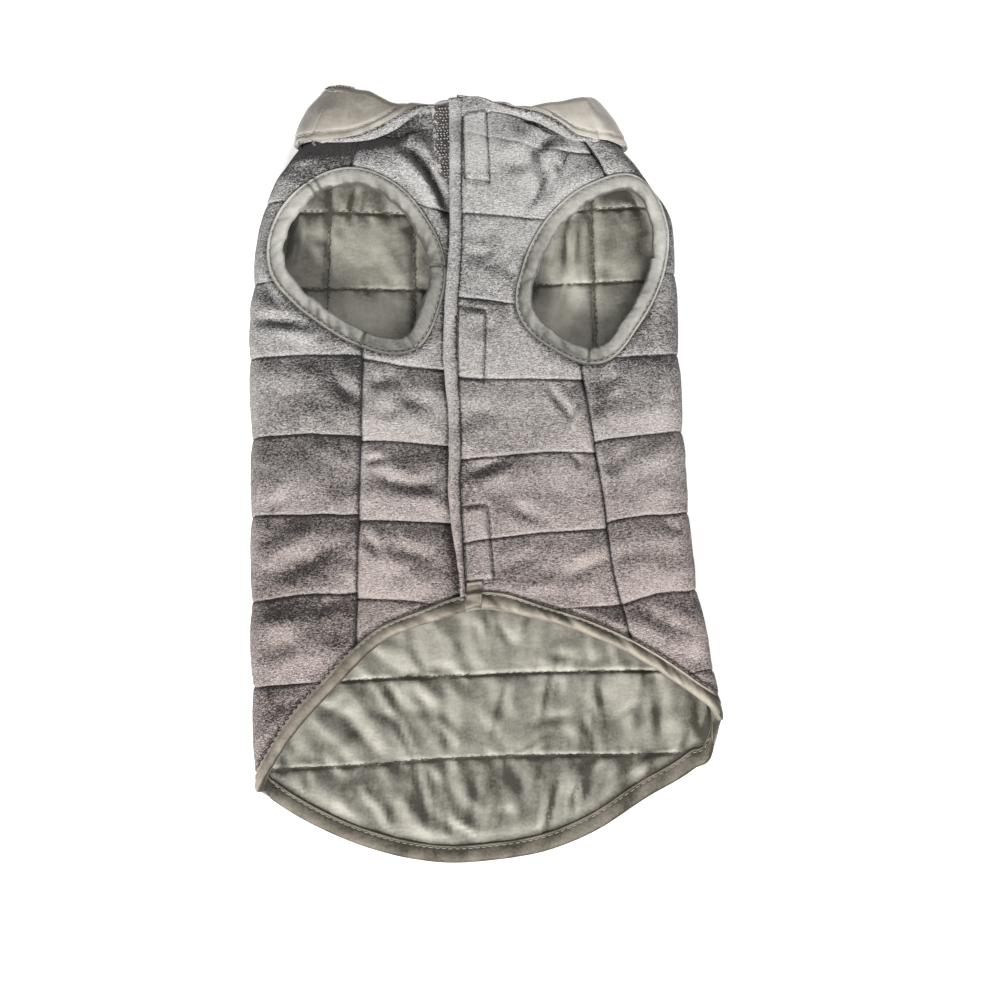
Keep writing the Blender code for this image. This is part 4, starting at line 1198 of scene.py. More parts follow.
Profile = namedtuple("Profile", "across rise")
ARMHOLE_PROFILE = rows_of(
    Profile,
    (-0.2, -0.8), (0.0, 0.5), (0.35, 1.1), (0.85, 1.2), (1.25, 0.55), (1.6, 0.4), (1.95, 0.6),
    (2.6, 1.1), (4.0, 1.35), (5.8, 1.3), (7.2, 0.95), (8.1, 0.35), (8.5, -0.5), (8.3, -1.6),
    (7.2, -2.5), (5.0, -3.1), (2.0, -3.2), (0.2, -2.9),
)
BINDING_SEW = 1.55  # where the stitches run, from the binding's outer edge
# Painted light: the angle at which each armhole's binding is drawn lightest, and how much lighter
# it is
ARMHOLE_LIT = {"left": (140, 0.4), "right": (35, 0.24)}


def armhole_path(side, inset, angles):
    """Places in plan round the armhole, moved inwards by inset."""
    turn = np.stack([np.cos(np.radians(angles)), np.sin(np.radians(angles))], 1)
    points = ARMHOLE_MIDDLE[side] + armhole_radius(side, angles)[:, None] * turn
    along = np.roll(points, -1, 0) - np.roll(points, 1, 0)
    inwards = unit(np.stack([-along[:, 1], along[:, 0]], 1))
    return points + inwards * np.asarray(inset)[..., None]


def make_armhole_binding(side, cloth):
    panel = "under" if side == "left" else "over"
    angles = np.arange(0, 360, 0.5)
    seed = 21 if side == "left" else 22
    arc = angles * 0.72
    closing = ease((360 - angles) / 20)  # the noise starts and ends alike
    pucker = (0.5 * noise(arc, 0, 4.5, seed) + 0.35 * noise(arc, 3, 2.0, seed)) * closing
    wander = 0.4 * noise(arc, 9, 14, seed) * closing
    joins = sum(bell((angles - at) / 1.2) for at in BINDING_JOINS[side])
    waves = (0.55 * noise(arc, 7, 8, seed + 3) + 0.35 * noise(arc, 8, 4, seed + 4)) * closing
    rings, painted_shade_and_tone = [], []
    for point in ARMHOLE_PROFILE:
        share = ease(point.across / 4) if point.rise > -0.6 else 0
        at = armhole_path(
            side, point.across + wander * share + waves * ease((point.across - 4.5) / 3), angles
        )
        slanted = arc + 1.1 * point.across
        fold = (
            0.9 * noise(slanted, point.across / 4, 6, seed + 9)
            + 0.5 * noise(slanted, 0, 2.7, seed + 8)
        ) * closing
        rise = point.rise + (0.3 * pucker + fold) * share - 0.9 * joins * (point.rise > -0.6)
        rings.append(np.column_stack([at, top(at[:, 0], at[:, 1], panel) + rise]))
        # Painted shade in the stitched groove, under the rolled inner edge and at the joins, and a
        # painted highlight on the outer lip
        groove = 0.7 * bell((point.across - BINDING_SEW) / 0.35)
        painted_shade_and_tone.append(
            groove
            - 0.15 * bell((point.across - 0.7) / 0.4)
            + 0.5 * ease((point.across - 7.4) / 0.8)
            + 0.4 * joins
        )
    lightest, amount = ARMHOLE_LIT[side]
    around = np.radians(angles - lightest)
    # painted light round the hole, lightest at ARMHOLE_LIT's angle, with random tone
    painted_shade_and_tone = (
        np.array(painted_shade_and_tone).T
        + (0.14 * noise(arc, 4, 16, seed + 5) * closing - amount * np.cos(around))[:, None]
    )
    rings = np.array(rings).transpose(1, 0, 2)
    piece = loft("armhole_edge_" + side, rings, [cloth], True, painted_shade_and_tone, SATIN_LIGHT_WAY)
    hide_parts("armhole_binding_" + side)
    line = armhole_path(side, BINDING_SEW, angles)
    line = np.concatenate([line, line[:1]])
    return sew(Cloth(piece), *line.T, seed=seed)


HEM_PROFILE = rows_of(
    Profile,
    (8.9, -0.8), (8.7, 0.5), (8.2, 1.2), (7.7, 1.3), (7.2, 0.75), (6.6, 0.75), (5.6, 1.3),
    (4.2, 1.75), (2.7, 1.75), (1.4, 1.35), (0.5, 0.7), (0.1, 0.1),
)
HEM_SEW = 6.9
HEM_NARROW = 0.2  # the binding is this much narrower on the belly side, away from the middle


def narrowing(form, places):
    """The hem binding's width, as a share of the whole."""
    aside = abs(form.at(places, np.full(places.shape, -100.0))[0])
    return np.where(form.belly(places), 1 - HEM_NARROW * ease((aside - 12) / 30), 1)


def make_hem_binding(cloth):
    """One strip round the whole hem, from the over panel's band by the back to the under panel's
    lap."""
    lengths = graded(0, ROUND, [45, 58, 279, 292], 0.9, 1.8, 20)
    laps = np.interp(lengths, LAP_LENGTHS, LAPS)
    pieces = ((OVER, np.linspace(0.03, 1, 75)), (BACK, laps), (UNDER, np.linspace(0, 0.98, 60)))
    insets = np.array([point.across for point in HEM_PROFILE])
    grid, thick, lower = [], [], []
    for form, places in pieces:
        place, inset = np.broadcast_arrays(places[:, None], insets)
        y = meet(form, place, hem, inset * narrowing(form, places)[:, None])
        x, z = form.at(place, y)
        grid.append(np.stack([x, y, z], -1))
        thick.append(np.where(form.belly(places), BELLY, PLUSH + LINING + GAP))
        underneath = ease((places - 1.1) / 0.4) * ease((4.9 - places) / 0.4)
        lower.append(underneath if form is BACK else 0 * places)
    grid, thick, lower = map(np.concatenate, (grid, thick, lower))
    across, along = np.gradient(grid, axis=0), np.gradient(grid, axis=1)
    square = unit(np.cross(along, across))
    arc = lengths_along(grid[:, 0])
    slanted = arc[:, None] + 0.9 * insets
    pucker = 0.75 * noise(slanted, insets / 3, 7, 31) + 0.4 * noise(slanted, insets / 3, 3, 34)
    flat = 1 - 0.55 * lower[:, None]
    rise = (
        np.array([point.rise for point in HEM_PROFILE]) * flat
        + pucker * flat * ease((8.5 - insets) / 3)
    )
    seam = bell((insets - HEM_SEW) / 0.5)
    # Painted shade in the stitched groove and along the hem's edge; the back's part drawn darker,
    # partly its tone and partly painted shade, with a painted shadow along its inner edge; random
    # tone
    painted_shade_and_tone = (
        0.35 * seam
        + 0.5 * ease((1.6 - insets) / 1.4)
        + lower[:, None] * (0.3 - 0.2 * bell((insets - 8.2) / 0.5))
    )
    painted_shade_and_tone = (
        painted_shade_and_tone
        + 0.2 * noise(slanted, insets / 4, 9, 35)
        + 0.12 * noise(arc, 0, 5, 36)[:, None] * lower[:, None]
    )
    painted_shade_and_tone = painted_shade_and_tone + 0.6 * bell((insets - 8.9) / 0.35) * lower[:, None]
    outside = grid + square * rise[..., None]
    inside = grid - square * (thick[:, None] + rise)[..., None]
    stations = np.concatenate([outside, inside[:, ::-1]], axis=1)
    stations[..., 2] = np.maximum(stations[..., 2], FLOOR_GAP)
    painted_shade_and_tone = np.concatenate([painted_shade_and_tone, painted_shade_and_tone[:, ::-1]], axis=1)
    piece = loft("hem_edge", stations, [cloth], False, painted_shade_and_tone, SATIN_LIGHT_WAY)
    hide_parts("hem_binding")
    surface = Cloth(piece)
    sewn = []
    for form, places in ((OVER, np.linspace(0.1, 1, 80)), (UNDER, np.linspace(0, 0.8, 80))):
        y = meet(form, places, hem, HEM_SEW * narrowing(form, places))
        sewn.append(sew(surface, form.at(places, y)[0], y, seed=32))
    sides = [(np.linspace(0, 1.2, 80), ABOVE), (np.linspace(4.8, 6, 80), ABOVE)]
    for places, height in [*sides, (np.linspace(2, 4, 200), 8.5)]:
        y = meet(BACK, places, hem, HEM_SEW)
        sewn.append(sew(surface, BACK.at(places, y)[0], y, height, seed=33))
    return np.concatenate(sewn)


BAND_PROFILE = rows_of(
    Profile,
    (0.06, -2.6), (0.0, -1.6), (0.0, -0.5), (0.07, 0.4), (0.2, 1.05), (0.4, 1.45), (0.62, 1.4),
    (0.8, 1.0), (0.92, 0.2), (1.0, -0.9), (0.95, -2.2), (0.6, -2.9), (0.3, -2.9),
)


def raised(x, y, seam):
    """Height of the over panel, and past the neck seam of the collar's stand above it."""
    below = np.minimum(y, seam)
    return top(x, below, "over") + (y - below) * COLLAR_SLOPE


def make_band(plush):
    """The over panel's edge, rolled into a band that runs up on to the collar."""
    zero = np.zeros(1)
    low, seam = meet(BAND_EDGE, zero, hem, BINDING - 1)[0], meet(BAND_EDGE, zero, neck, 0)[0]
    y = np.arange(low, seam + BAND_TOP, 1.0)[:, None]
    profile = np.array(BAND_PROFILE)
    left = read(BAND_EDGES, "left", y) + 0.2 * noise(y, 0, 11, 41)
    width = read(BAND_EDGES, "right", y) - left
    swell = 0.35 * noise(y, 0, 8, 42) + 0.12 * noise(y, 0, 3, 43)
    rounding = 1 - 0.6 * bell((y - seam - BAND_TOP) / 1.5)
    height = raised(left + width, y, seam) + (profile[:, 1] + swell) * rounding
    x = left + width * profile[:, 0] + 0.15 * noise(y, profile[:, 0] * 9, 5, 44)
    # Painted shade in the stitched groove at the band's right edge, and the band drawn lighter
    # overall
    painted_shade_and_tone = 0.3 * bell((profile[:, 0] - 1) / 0.06) - 0.22
    piece = loft("placket_edge", np.stack([x, y + 0 * x, height], -1), [plush], False, painted_shade_and_tone)
    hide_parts("placket_band")


TAB = (-8.0, -0.4, 13.6)  # its left and right edges and its length
TAB_THICK = 0.9


def make_tab(cloth):
    """The end of the hem's binding, folded over it below the rolled band."""
    u, v = np.meshgrid(np.linspace(0, 1, 22), np.linspace(0, 1, 30), indexing="ij")
    left, right, length = TAB
    x = left + (right - left) * u + 1.0 * v + 0.2 * noise(v * 13, u, 3, 73)
    y = read(HEM, "belly", x) - 0.3 + length * v + 0.35 * noise(x, 0, 2.5, 71) * (1 - v)
    over_binding = ease((BINDING + 1.2 - length * v) / 2.5)
    around = bell(((u - 0.5) * 2) ** 4)
    z = top(x, y, "over") + 1.6 + 1.5 * over_binding + 0.5 * around + 0.3 * noise(x, y, 3.2, 72)
    rim = np.minimum(np.minimum(u, 1 - u), np.minimum(v, 1 - v))
    z -= 0.25 * bell((rim - 0.11) / 0.035)
    points = np.stack([x, y, z], -1).reshape(-1, 3)
    piece = shell("hem_fold", points, grid_faces(v), 0.0, -TAB_THICK, [cloth])
    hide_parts("hem_tab")


# Hook and loop tapes


def make_tape(name, node, form, hooks, tape, hook_material):
    """A tape's woven ground in its CAD solid's place. A hook tape has small bent hooks on it."""
    low, high = (np.array(corner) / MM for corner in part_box(node))
    first = HOOK_LOW if node == "hook_top" else TAPE_INSET
    last = LOOP_HIGH if node == "loop_top" else 1 - TAPE_INSET
    u, v = np.meshgrid(np.linspace(0.02, 0.98, 14), np.linspace(first, last, 60), indexing="ij")
    y = low[1] + (high[1] - low[1]) * v
    if node == "hook_top":
        left = np.interp(y, *HOOK_LEFT)
        x = left + (HOOK_LEFT[1][-1] + HOOK_WIDTH - left) * u
    else:
        x = low[0] + (high[0] - low[0]) * u
    below = np.minimum(y, NECK_SEAM)
    z = top(x, below, form.surface) + (y - below) * COLLAR_SLOPE
    depth = (0.95, -0.2) if hooks else (-BELLY - 2 * GAP, -BELLY - 2 * GAP - 1.0)
    points = np.stack([x, y, z], -1).reshape(-1, 3)
    painted_shade_and_tone = (ease((u - 0.15) / 0.35) - 0.5 * bell((u - 0.02) / 0.06)).ravel() - 0.2
    piece = shell(name, points, grid_faces(v * 50), *depth, [tape], painted_shade_and_tone=painted_shade_and_tone)
    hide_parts(node)
    if not hooks:
        return
    step = HOOK_STEP
    random = np.random.default_rng(81)
    paths = []
    ground = Cloth(piece)
    columns = int((x.max() - x.min()) / step)
    for row, b in enumerate(np.arange(y.min() + 1, y.max() - 1, step)):
        left = np.interp(b, y[0], x[0]) + 2.0
        a = left + step * np.arange(columns) + step / 2 * (row % 2)
        a = a[a < np.interp(b, y[-1], x[-1]) - 0.5]
        a = a[random.uniform(0, 1, len(a)) > 0.12]
        a = a + random.uniform(-0.28, 0.28, len(a))
        base, square = ground.below(a, b + random.uniform(-0.3, 0.3, len(a)))
        turn = random.uniform(-0.5, 0.5, len(base)) + np.pi * (row % 2)
        bend = np.stack([np.cos(turn), np.sin(turn), 0 * turn], 1)
        paths.append(np.stack([base + square * up + bend * over for up, over in HOOK_PATH], 1))
    bristles = threads(name + "_hooks", np.concatenate(paths), HOOK, [hook_material])


# Collar


def neck_line():
    """The panels' neck edge as rows of station, x, y and z: the under panel, the back and the
    over panel."""
    rows = []
    for form, places, first in (
        (UNDER, np.linspace(1, 0, 30), 1),
        (BACK, np.linspace(6, 0, 90), 7),
        (OVER_COLLAR, np.linspace(1, 0, 30), 8),
    ):
        y = meet(form, places, neck, 0)
        x, z = form.at(places, y)
        rows.append(np.column_stack([first - places, x, y, z]))
    return np.concatenate(rows)


def collar_at(station):
    return CollarRow(station, *(read(COLLAR_ROWS, name, station) for name in CollarRow._fields[1:]))


def edge_of(at):
    """The lining's free edge."""
    return np.array([at.edge_x, at.edge_y, at.edge_z])


def collar_section(at, root, out):
    """Points from the seam up the stand, round the fold, down the fall and out to the plush
    lip's end."""
    crest, edge = np.array([at.crest_x, at.crest_y, at.crest_z]), edge_of(at)
    up = unit(crest - root)
    away = unit(out - up * (out @ up))
    angles = np.linspace(0, np.pi * np.clip(at.fold, 0, 1), 25)
    arc = [crest + ROLL * (away * (1 - np.cos(angle)) + up * np.sin(angle)) for angle in angles]
    path = np.array([root, *arc, edge])
    lengths = lengths_along(path)
    stand, turn, fall = COLLAR_STEPS
    first = max(lengths[1] - 1.5, lengths[1] / 2)
    last = min(lengths[-2] + 1.5, (lengths[-2] + lengths[-1]) / 2)
    places = np.linspace(0, first, stand, endpoint=False)
    places = np.concatenate([places, np.linspace(first, last, turn, endpoint=False)])
    places = np.concatenate([places, np.linspace(last, lengths[-1], fall + 1)])
    points = np.stack([np.interp(places, lengths, path[:, k]) for k in range(3)], 1)
    fallen = np.clip((places - lengths[-2]) / (lengths[-1] - lengths[-2]), 0, 1)
    points += away * (at.bow * np.sin(np.pi * fallen))[:, None]
    along = edge_of(collar_at(at.station - NEAR_BY)) - edge_of(collar_at(at.station + NEAR_BY))
    way = unit(np.cross(along, away))
    reach = read(LIPS, "reach", at.station)
    share = np.linspace(0, 1, LIP_STEPS + 1)[1:, None]
    lip = points[-1] + reach * (way * share - away * 0.45 * share**2)
    return np.concatenate([points, lip])


def neck_at(line, station):
    return np.array([np.interp(station, line[:, 0], line[:, k]) for k in (1, 2, 3)])


def make_collar(plush, lining):
    line = neck_line()
    spots = graded(0, 8, [0.6, 7.4], 0.012, 0.04, 0.5)
    up = np.array([0.0, 1.0, 0.0])
    sections = []
    for station in spots:
        ahead = neck_at(line, station + NEAR_BY) - neck_at(line, station - NEAR_BY)
        out = unit(np.cross(up, ahead))
        root = neck_at(line, station) + up * NECK_GAP
        sections.append(collar_section(collar_at(station), root, out))
    grid = np.array(sections[::-1])
    columns, steps = grid.shape[:2]
    place = np.tile(np.arange(steps, dtype=float), (columns, 1))
    square = unit(np.cross(np.gradient(grid, axis=0), np.gradient(grid, axis=1)))
    for _ in range(COLLAR_SMOOTHING):
        padded = np.concatenate([square[:1], square, square[-1:]])
        square = unit(padded[:-2] + 2 * padded[1:-1] + padded[2:])
    x, y = grid[..., 0], grid[..., 1]
    grid = grid + square * (0.35 * noise(x, y, 13, 51) + 0.3 * noise(x, y, 6, 52))[..., None]
    points, normal = grid.reshape(-1, 3), square.reshape(-1, 3)
    outer = 0.12 * noise(points[:, 0], points[:, 1], 4, 53)
    station = spots[::-1]
    shaded = np.interp(station, *STAND_SHADE)
    stand = 1 - ease((np.arange(steps) - COLLAR_STEPS[0]) / (COLLAR_STEPS[1] / 2))
    past_lining = np.arange(steps) - (steps - LIP_STEPS)
    lining_edge_shadow = 0.55 * bell(past_lining / 0.9) * (read(LIPS, "reach", station) > 1)[:, None]
    lip = ease((past_lining + 1) / 1.5)
    # Painted shade on the stand below the fall and a painted shadow along the lining's edge; the
    # lip a little darker, and all a little lighter
    painted_shade_and_tone = (shaded[:, None] * stand[None] + lining_edge_shadow + 0.16 * lip - 0.08).ravel()
    piece = shell(
        "collar_plush", points, grid_faces(place), outer, -COLLAR_PLUSH, [plush], normal, painted_shade_and_tone,
        lines=[FAR],
    )
    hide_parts("collar")
    kept = steps - LIP_STEPS
    fall = np.linalg.norm(np.diff(grid[:, :kept], axis=1), axis=2)
    to_edge = fall[:, ::-1].cumsum(axis=1)[:, ::-1]
    to_edge = np.concatenate([to_edge, np.zeros((columns, 1))], axis=1)
    sewn = np.abs(to_edge - COLLAR_SEW)
    pucker = 0.45 * noise(grid[:, :kept, 0], grid[:, :kept, 1] / 3, 3.4, 54) * bell(sewn / 3)
    depth = (-COLLAR_PLUSH - LINING - 0.1 + 0.7 * bell(sewn / 0.7) - pucker).ravel()
    points, normal = grid[:, :kept].reshape(-1, 3), square[:, :kept].reshape(-1, 3)
    crest = COLLAR_STEPS[0] + int(0.6 * COLLAR_STEPS[1])
    overlocked = (station > SERGED[0]) & (station < SERGED[1])
    # Painted shade along the topstitched groove and painted light on the right wing, lighter
    # towards +x; the overlocked ridge darker
    painted_shade_and_tone = 0.3 * bell(sewn / 0.7) + 0.2 - 0.6 * ease((grid[:, :kept, 0] + 20) / 40)
    painted_shade_and_tone += 0.5 * overlocked[:, None] * bell((np.arange(kept) - crest) / 2.5)[None]
    faces = grid_faces(place[:, :kept])
    inner = shell(
        "collar_inner", points, faces, 0.1 - COLLAR_PLUSH, depth, [lining], normal, painted_shade_and_tone.ravel()
    )
    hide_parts("collar_lining")
    picked = np.flatnonzero(
        (to_edge[:, 0] > COLLAR_SEW + 4) & (to_edge[:, COLLAR_STEPS[0]] > COLLAR_SEW)
    )
    nearest = np.argmin(sewn[picked], axis=1)
    outwards = -square[picked, nearest]
    path = grid[picked, nearest] + outwards * (COLLAR_PLUSH + LINING - 0.5)
    topstitch = stitches(path, outwards, lift=0.25, seed=55)
    ridge = grid[overlocked, crest] - square[overlocked, crest] * (COLLAR_PLUSH + LINING)
    serging = stitches(
        ridge, -square[overlocked, crest], lift=0.55, length=1.3, step=0.8, slant=4.4, seed=56
    )
    return topstitch, serging


# Materials

SPECULAR = 0.25
COOLER = (-0.08, 0.13)  # from this y to that, in metres, the plush turns from warm to neutral


class Nodes:
    """Short ways to add a material's nodes."""

    def __init__(self, name):
        self.material = bpy.data.materials.new(name)
        self.material.use_nodes = True
        self.tree = self.material.node_tree
        self.shader = self.tree.nodes["Principled BSDF"]
        self.place = self.tree.nodes.new("ShaderNodeTexCoord").outputs["Object"]

    def add(self, kind, inputs=(), **settings):
        node = self.tree.nodes.new(kind)
        for name, value in settings.items():
            setattr(node, name, value)
        for name, value in dict(inputs).items():
            self.put(node.inputs[name], value)
        return node

    def put(self, socket, value):
        """Links a socket to another node's, or sets it to a value."""
        if isinstance(value, bpy.types.NodeSocket):
            self.tree.links.new(value, socket)
        else:
            socket.default_value = value

    def mapped(self, scale, angle=0, place=None):
        turn = (0, 0, np.radians(angle))
        inputs = {"Vector": place or self.place, "Scale": scale, "Rotation": turn}
        return self.add("ShaderNodeMapping", inputs).outputs["Vector"]

    def noise(self, vector, scale, detail=2, roughness=0.5, distortion=0):
        inputs = {"Vector": vector, "Scale": scale, "Detail": detail}
        inputs.update(Roughness=roughness, Distortion=distortion)
        return self.add("ShaderNodeTexNoise", inputs).outputs["Fac"]

    def warped(self, scale, reach):
        """Places moved about by smooth noise, so that what is drawn on them wanders."""
        inputs = {"Vector": self.place, "Scale": scale, "Detail": 2.0}
        swirl = self.add("ShaderNodeTexNoise", inputs).outputs["Color"]
        return self.vector("ADD", self.place, self.vector("MULTIPLY", swirl, (reach, reach, reach)))

    def vector(self, operation, a, b):
        return self.add("ShaderNodeVectorMath", {0: a, 1: b}, operation=operation).outputs[0]

    def math(self, operation, a, b=0.0, clamp=False):
        node = self.add("ShaderNodeMath", operation=operation, use_clamp=clamp)
        for socket, value in zip(node.inputs, (a, b)):
            self.put(socket, value)
        return node.outputs["Value"]

    def blend(self, *shares):
        """The sum of values, each times its share."""
        total = self.math("MULTIPLY", *shares[0])
        for value, share in shares[1:]:
            total = self.math("ADD", total, self.math("MULTIPLY", value, share))
        return total

    def attribute(self, name):
        return self.add("ShaderNodeAttribute", attribute_name=name).outputs["Fac"]

    def sewn(self, name, jitter, reach, width):
        """1 on the sewn lines of an attribute, whose edge wanders by the jitter's values."""
        away = self.attribute(name)
        wander = self.math("MULTIPLY", self.math("SUBTRACT", jitter, 0.5), reach)
        away = self.math("ADD", away, wander)
        return self.ramp(self.math("ABSOLUTE", away), width, 0.3 * width)

    def ramp(self, fac, low, high):
        """0 below low to 1 above high."""
        inputs = {"Value": fac, "From Min": low, "From Max": high}
        node = self.add("ShaderNodeMapRange", inputs, interpolation_type="SMOOTHSTEP")
        return node.outputs["Result"]

    def mix(self, fac, a, b):
        node = self.add("ShaderNodeMix", data_type="RGBA")
        for name, value in (("Factor", fac), ("A", a), ("B", b)):
            self.put([s for s in node.inputs if s.name == name and s.enabled][0], value)
        return [s for s in node.outputs if s.enabled][0]

    def finish(
        self, colour, height, distance, strength, roughness, sheen=0.0, tint=(1, 1, 1),
        sheen_roughness=0.5,
    ):
        bump = self.add(
            "ShaderNodeBump", {"Height": height, "Distance": distance * MM, "Strength": strength}
        )
        values = {
            "Normal": bump.outputs["Normal"],
            "Base Color": colour,
            "Roughness": roughness,
            "Specular IOR Level": SPECULAR,
            "Sheen Weight": sheen,
            "Sheen Roughness": sheen_roughness,
            "Sheen Tint": (*tint, 1),
        }
        for name, value in values.items():
            self.put(self.shader.inputs[name], value)
        return self.material


def rgb(r, g, b):
    """A linear colour from a display one, in parts of 255."""
    share = np.array([r, g, b]) / 255
    return (*np.where(share > 0.04045, ((share + 0.055) / 1.055) ** 2.4, share / 12.92), 1.0)


def plush_material(name, dark, light, warm):
    """Short velvety pile: crackled tufts and brushed patches, with the painted light and shade of
    the nap attribute and painted shade along the sewn lines."""
    n = Nodes(name)
    bent = n.warped(160.0, 0.003)
    inputs = {"Vector": n.mapped((820, 1650, 1200), 12, bent), "Scale": 1.0}
    tufts = n.add("ShaderNodeTexVoronoi", inputs, feature="F1").outputs["Distance"]
    crackle = n.noise(n.mapped((660, 1700, 1200), 10, bent), 1.0, 1, 0.5, 0.8)
    grain = n.noise(n.place, 2600.0, 1, 0.6)
    mottle = n.noise(n.place, 150.0, 3, 0.6, 0.5)
    tone_marks = n.noise(n.place, 30.0, 2, 0.5, 0.5)
    nap = n.blend(
        (n.ramp(tufts, 0.8, 0.2), 0.3), (n.ramp(crackle, 0.38, 0.62), 0.4),
        (n.ramp(grain, 0.35, 0.65), 0.3),
    )
    # The nap attribute carries painted light and shade
    tone = n.blend(
        (nap, 1.08),
        (n.ramp(mottle, 0.36, 0.64), 0.08),
        (n.ramp(tone_marks, 0.4, 0.6), 0.12),
        (n.attribute("nap"), 0.8),
    )
    tone = n.math("SUBTRACT", tone, 0.54)
    # painted shade, with the thread, along the sewn lines
    line = n.sewn("line", n.noise(n.place, 900.0, 2, 0.6), 1.2, 0.55)
    tone = n.math("SUBTRACT", tone, n.math("MULTIPLY", line, 0.42), True)
    colour = n.mix(tone, dark, light)
    height_along = n.add("ShaderNodeSeparateXYZ", {"Vector": n.place}).outputs["Y"]
    low = n.math("SUBTRACT", 1.0, n.ramp(height_along, *COOLER))
    colour = n.mix(low, colour, n.mix(tone, *warm))
    height = n.blend((nap, 0.8), (mottle, 0.5))
    return n.finish(colour, height, 1.5, 0.9, 0.95, 0.2, (0.97, 0.97, 1.0), 0.35)


def lining_material(name, dark, light, sheen=0.3, roughness=0.5, sewn=0.0):
    """Smooth woven polyester with a faint satin sheen."""
    n = Nodes(name)
    across = n.noise(n.mapped((60, 3200, 3200)), 1.0, 1)
    down = n.noise(n.mapped((3200, 60, 3200)), 1.0, 1)
    creased = n.ramp(
        n.noise(n.mapped((60, 130, 90), 62, n.warped(40.0, 0.006)), 1.0, 2, 0.5, 0.5), 0.48, 0.53
    )
    crushed = n.ramp(
        n.noise(n.mapped((150, 70, 90), 20, n.warped(70.0, 0.006)), 1.0, 1, 0.5, 0.8), 0.5, 0.56
    )
    crumple = n.noise(n.mapped((130, 300, 200), 20, n.warped(50.0, 0.01)), 1.0, 2, 0.5)
    speck = n.noise(n.place, 700.0, 2, 0.6)
    # The nap attribute carries painted light and shade
    tone = n.blend(
        (creased, 0.07),
        (crushed, 0.06),
        (n.ramp(speck, 0.3, 0.7), 0.12),
        (crumple, 0.14),
        (n.attribute("nap"), 0.9),
    )
    tone = n.math("SUBTRACT", tone, 0.13)
    teeth = n.noise(n.mapped((620, 620, 620)), 1.0, 1, 0.5, 0.3)
    # painted shade, with the thread, along the sewn lines
    for kind in ("line", "upright"):
        line = n.sewn(kind, n.ramp(teeth, 0.35, 0.65), 1.1, 0.55)
        tone = n.math("SUBTRACT", tone, n.math("MULTIPLY", line, sewn), True)
    colour = n.mix(tone, dark, light)
    height = n.blend((across, 0.12), (down, 0.12), (crumple, 0.8))
    return n.finish(colour, height, 0.9, 0.4, roughness, sheen, (1, 1, 0.95), 0.35)


def thread_material(name, colour):
    """Twisted polyester thread."""
    n = Nodes(name)
    twist = n.noise(n.mapped((2500, 2500, 2500)), 1.0, 1)
    shade = n.mix(twist, tuple(0.7 * c for c in colour[:3]) + (1.0,), colour)
    return n.finish(shade, twist, 0.1, 0.4, 0.6, 0.2)


def tape_material(name, dark, light):
    """A knitted nylon ground in rows of fine loops."""
    n = Nodes(name)
    inputs = {"Vector": n.place, "Scale": 1100.0, "Randomness": 0.35}
    cells = n.add("ShaderNodeTexVoronoi", inputs).outputs["Distance"]
    fuzz = n.noise(n.place, 1800.0, 2, 0.6)
    lint = n.noise(n.place, 420.0, 3, 0.7, 0.8)
    tone = n.blend((n.ramp(cells, 0.1, 0.6), 0.6), (fuzz, 0.4))
    colour = n.mix(tone, dark, light)
    # more lint shows where the nap attribute is painted lighter
    lint = n.math("ADD", lint, n.math("MULTIPLY", n.attribute("nap"), 0.22))
    colour = n.mix(n.math("MULTIPLY", n.ramp(lint, 0.66, 0.74), 0.8), colour, rgb(205, 202, 198))
    return n.finish(colour, cells, 0.5, 0.9, 0.8, 0.1)


# Stage


def make_stage():
    n = Nodes("floor")
    speck = n.noise(n.place, 3.0, 2)
    colour = n.mix(speck, rgb(249, 249, 248), rgb(252, 252, 251))
    floor_material = n.finish(colour, speck, 0.1, 0.1, 0.9)
    n.shader.inputs["Emission Color"].default_value = (1, 1, 1, 1)
    n.shader.inputs["Emission Strength"].default_value = 0.55
    mesh = bpy.data.meshes.new("floor")
    half = 40.0
    corners = [(-half, -half, 0), (half, -half, 0), (half, half, 0), (-half, half, 0)]
    mesh.from_pydata(corners, [], [(0, 1, 2, 3)])
    mesh.materials.append(floor_material)
    floor = bpy.data.objects.new("floor", mesh)
    floor.location.z = -0.2 * MM
    bpy.context.scene.collection.objects.link(floor)


Lamp = namedtuple("Lamp", "name azimuth elevation distance size power")
LAMPS = rows_of(
    Lamp,
    ("key", -104, 32, 3.2, 0.9, 140),
    ("fill", 30, 50, 2.4, 1.6, 20),
)
DOME = 0.34


def make_lights():
    world = bpy.data.worlds.new("studio")
    world.use_nodes = True
    world.node_tree.nodes["Background"].inputs["Color"].default_value = (1, 1, 1, 1)
    world.node_tree.nodes["Background"].inputs["Strength"].default_value = DOME
    bpy.context.scene.world = world
    for lamp in LAMPS:
        light = bpy.data.lights.new(lamp.name, "AREA")
        light.shape = "DISK"
        light.size = lamp.size
        light.energy = lamp.power
        piece = bpy.data.objects.new(lamp.name, light)
        azimuth, elevation = np.radians(lamp.azimuth), np.radians(lamp.elevation)
        across = np.cos(elevation)
        towards = np.array([np.cos(azimuth) * across, np.sin(azimuth) * across, np.sin(elevation)])
        piece.location = towards * lamp.distance
        piece.rotation_euler = facing(towards)
        bpy.context.scene.collection.objects.link(piece)


def facing(back, roll=0.0):
    """A rotation whose -Z looks against back, with +Y up the picture, turned by roll degrees."""
    back = Vector(back).normalized()
    right = Vector((0, 1, 0)).cross(back).normalized()
    up = back.cross(right)
    turn = Matrix((right, up, back)).transposed()
    return (turn @ Matrix.Rotation(np.radians(roll), 3, "Z")).to_euler()


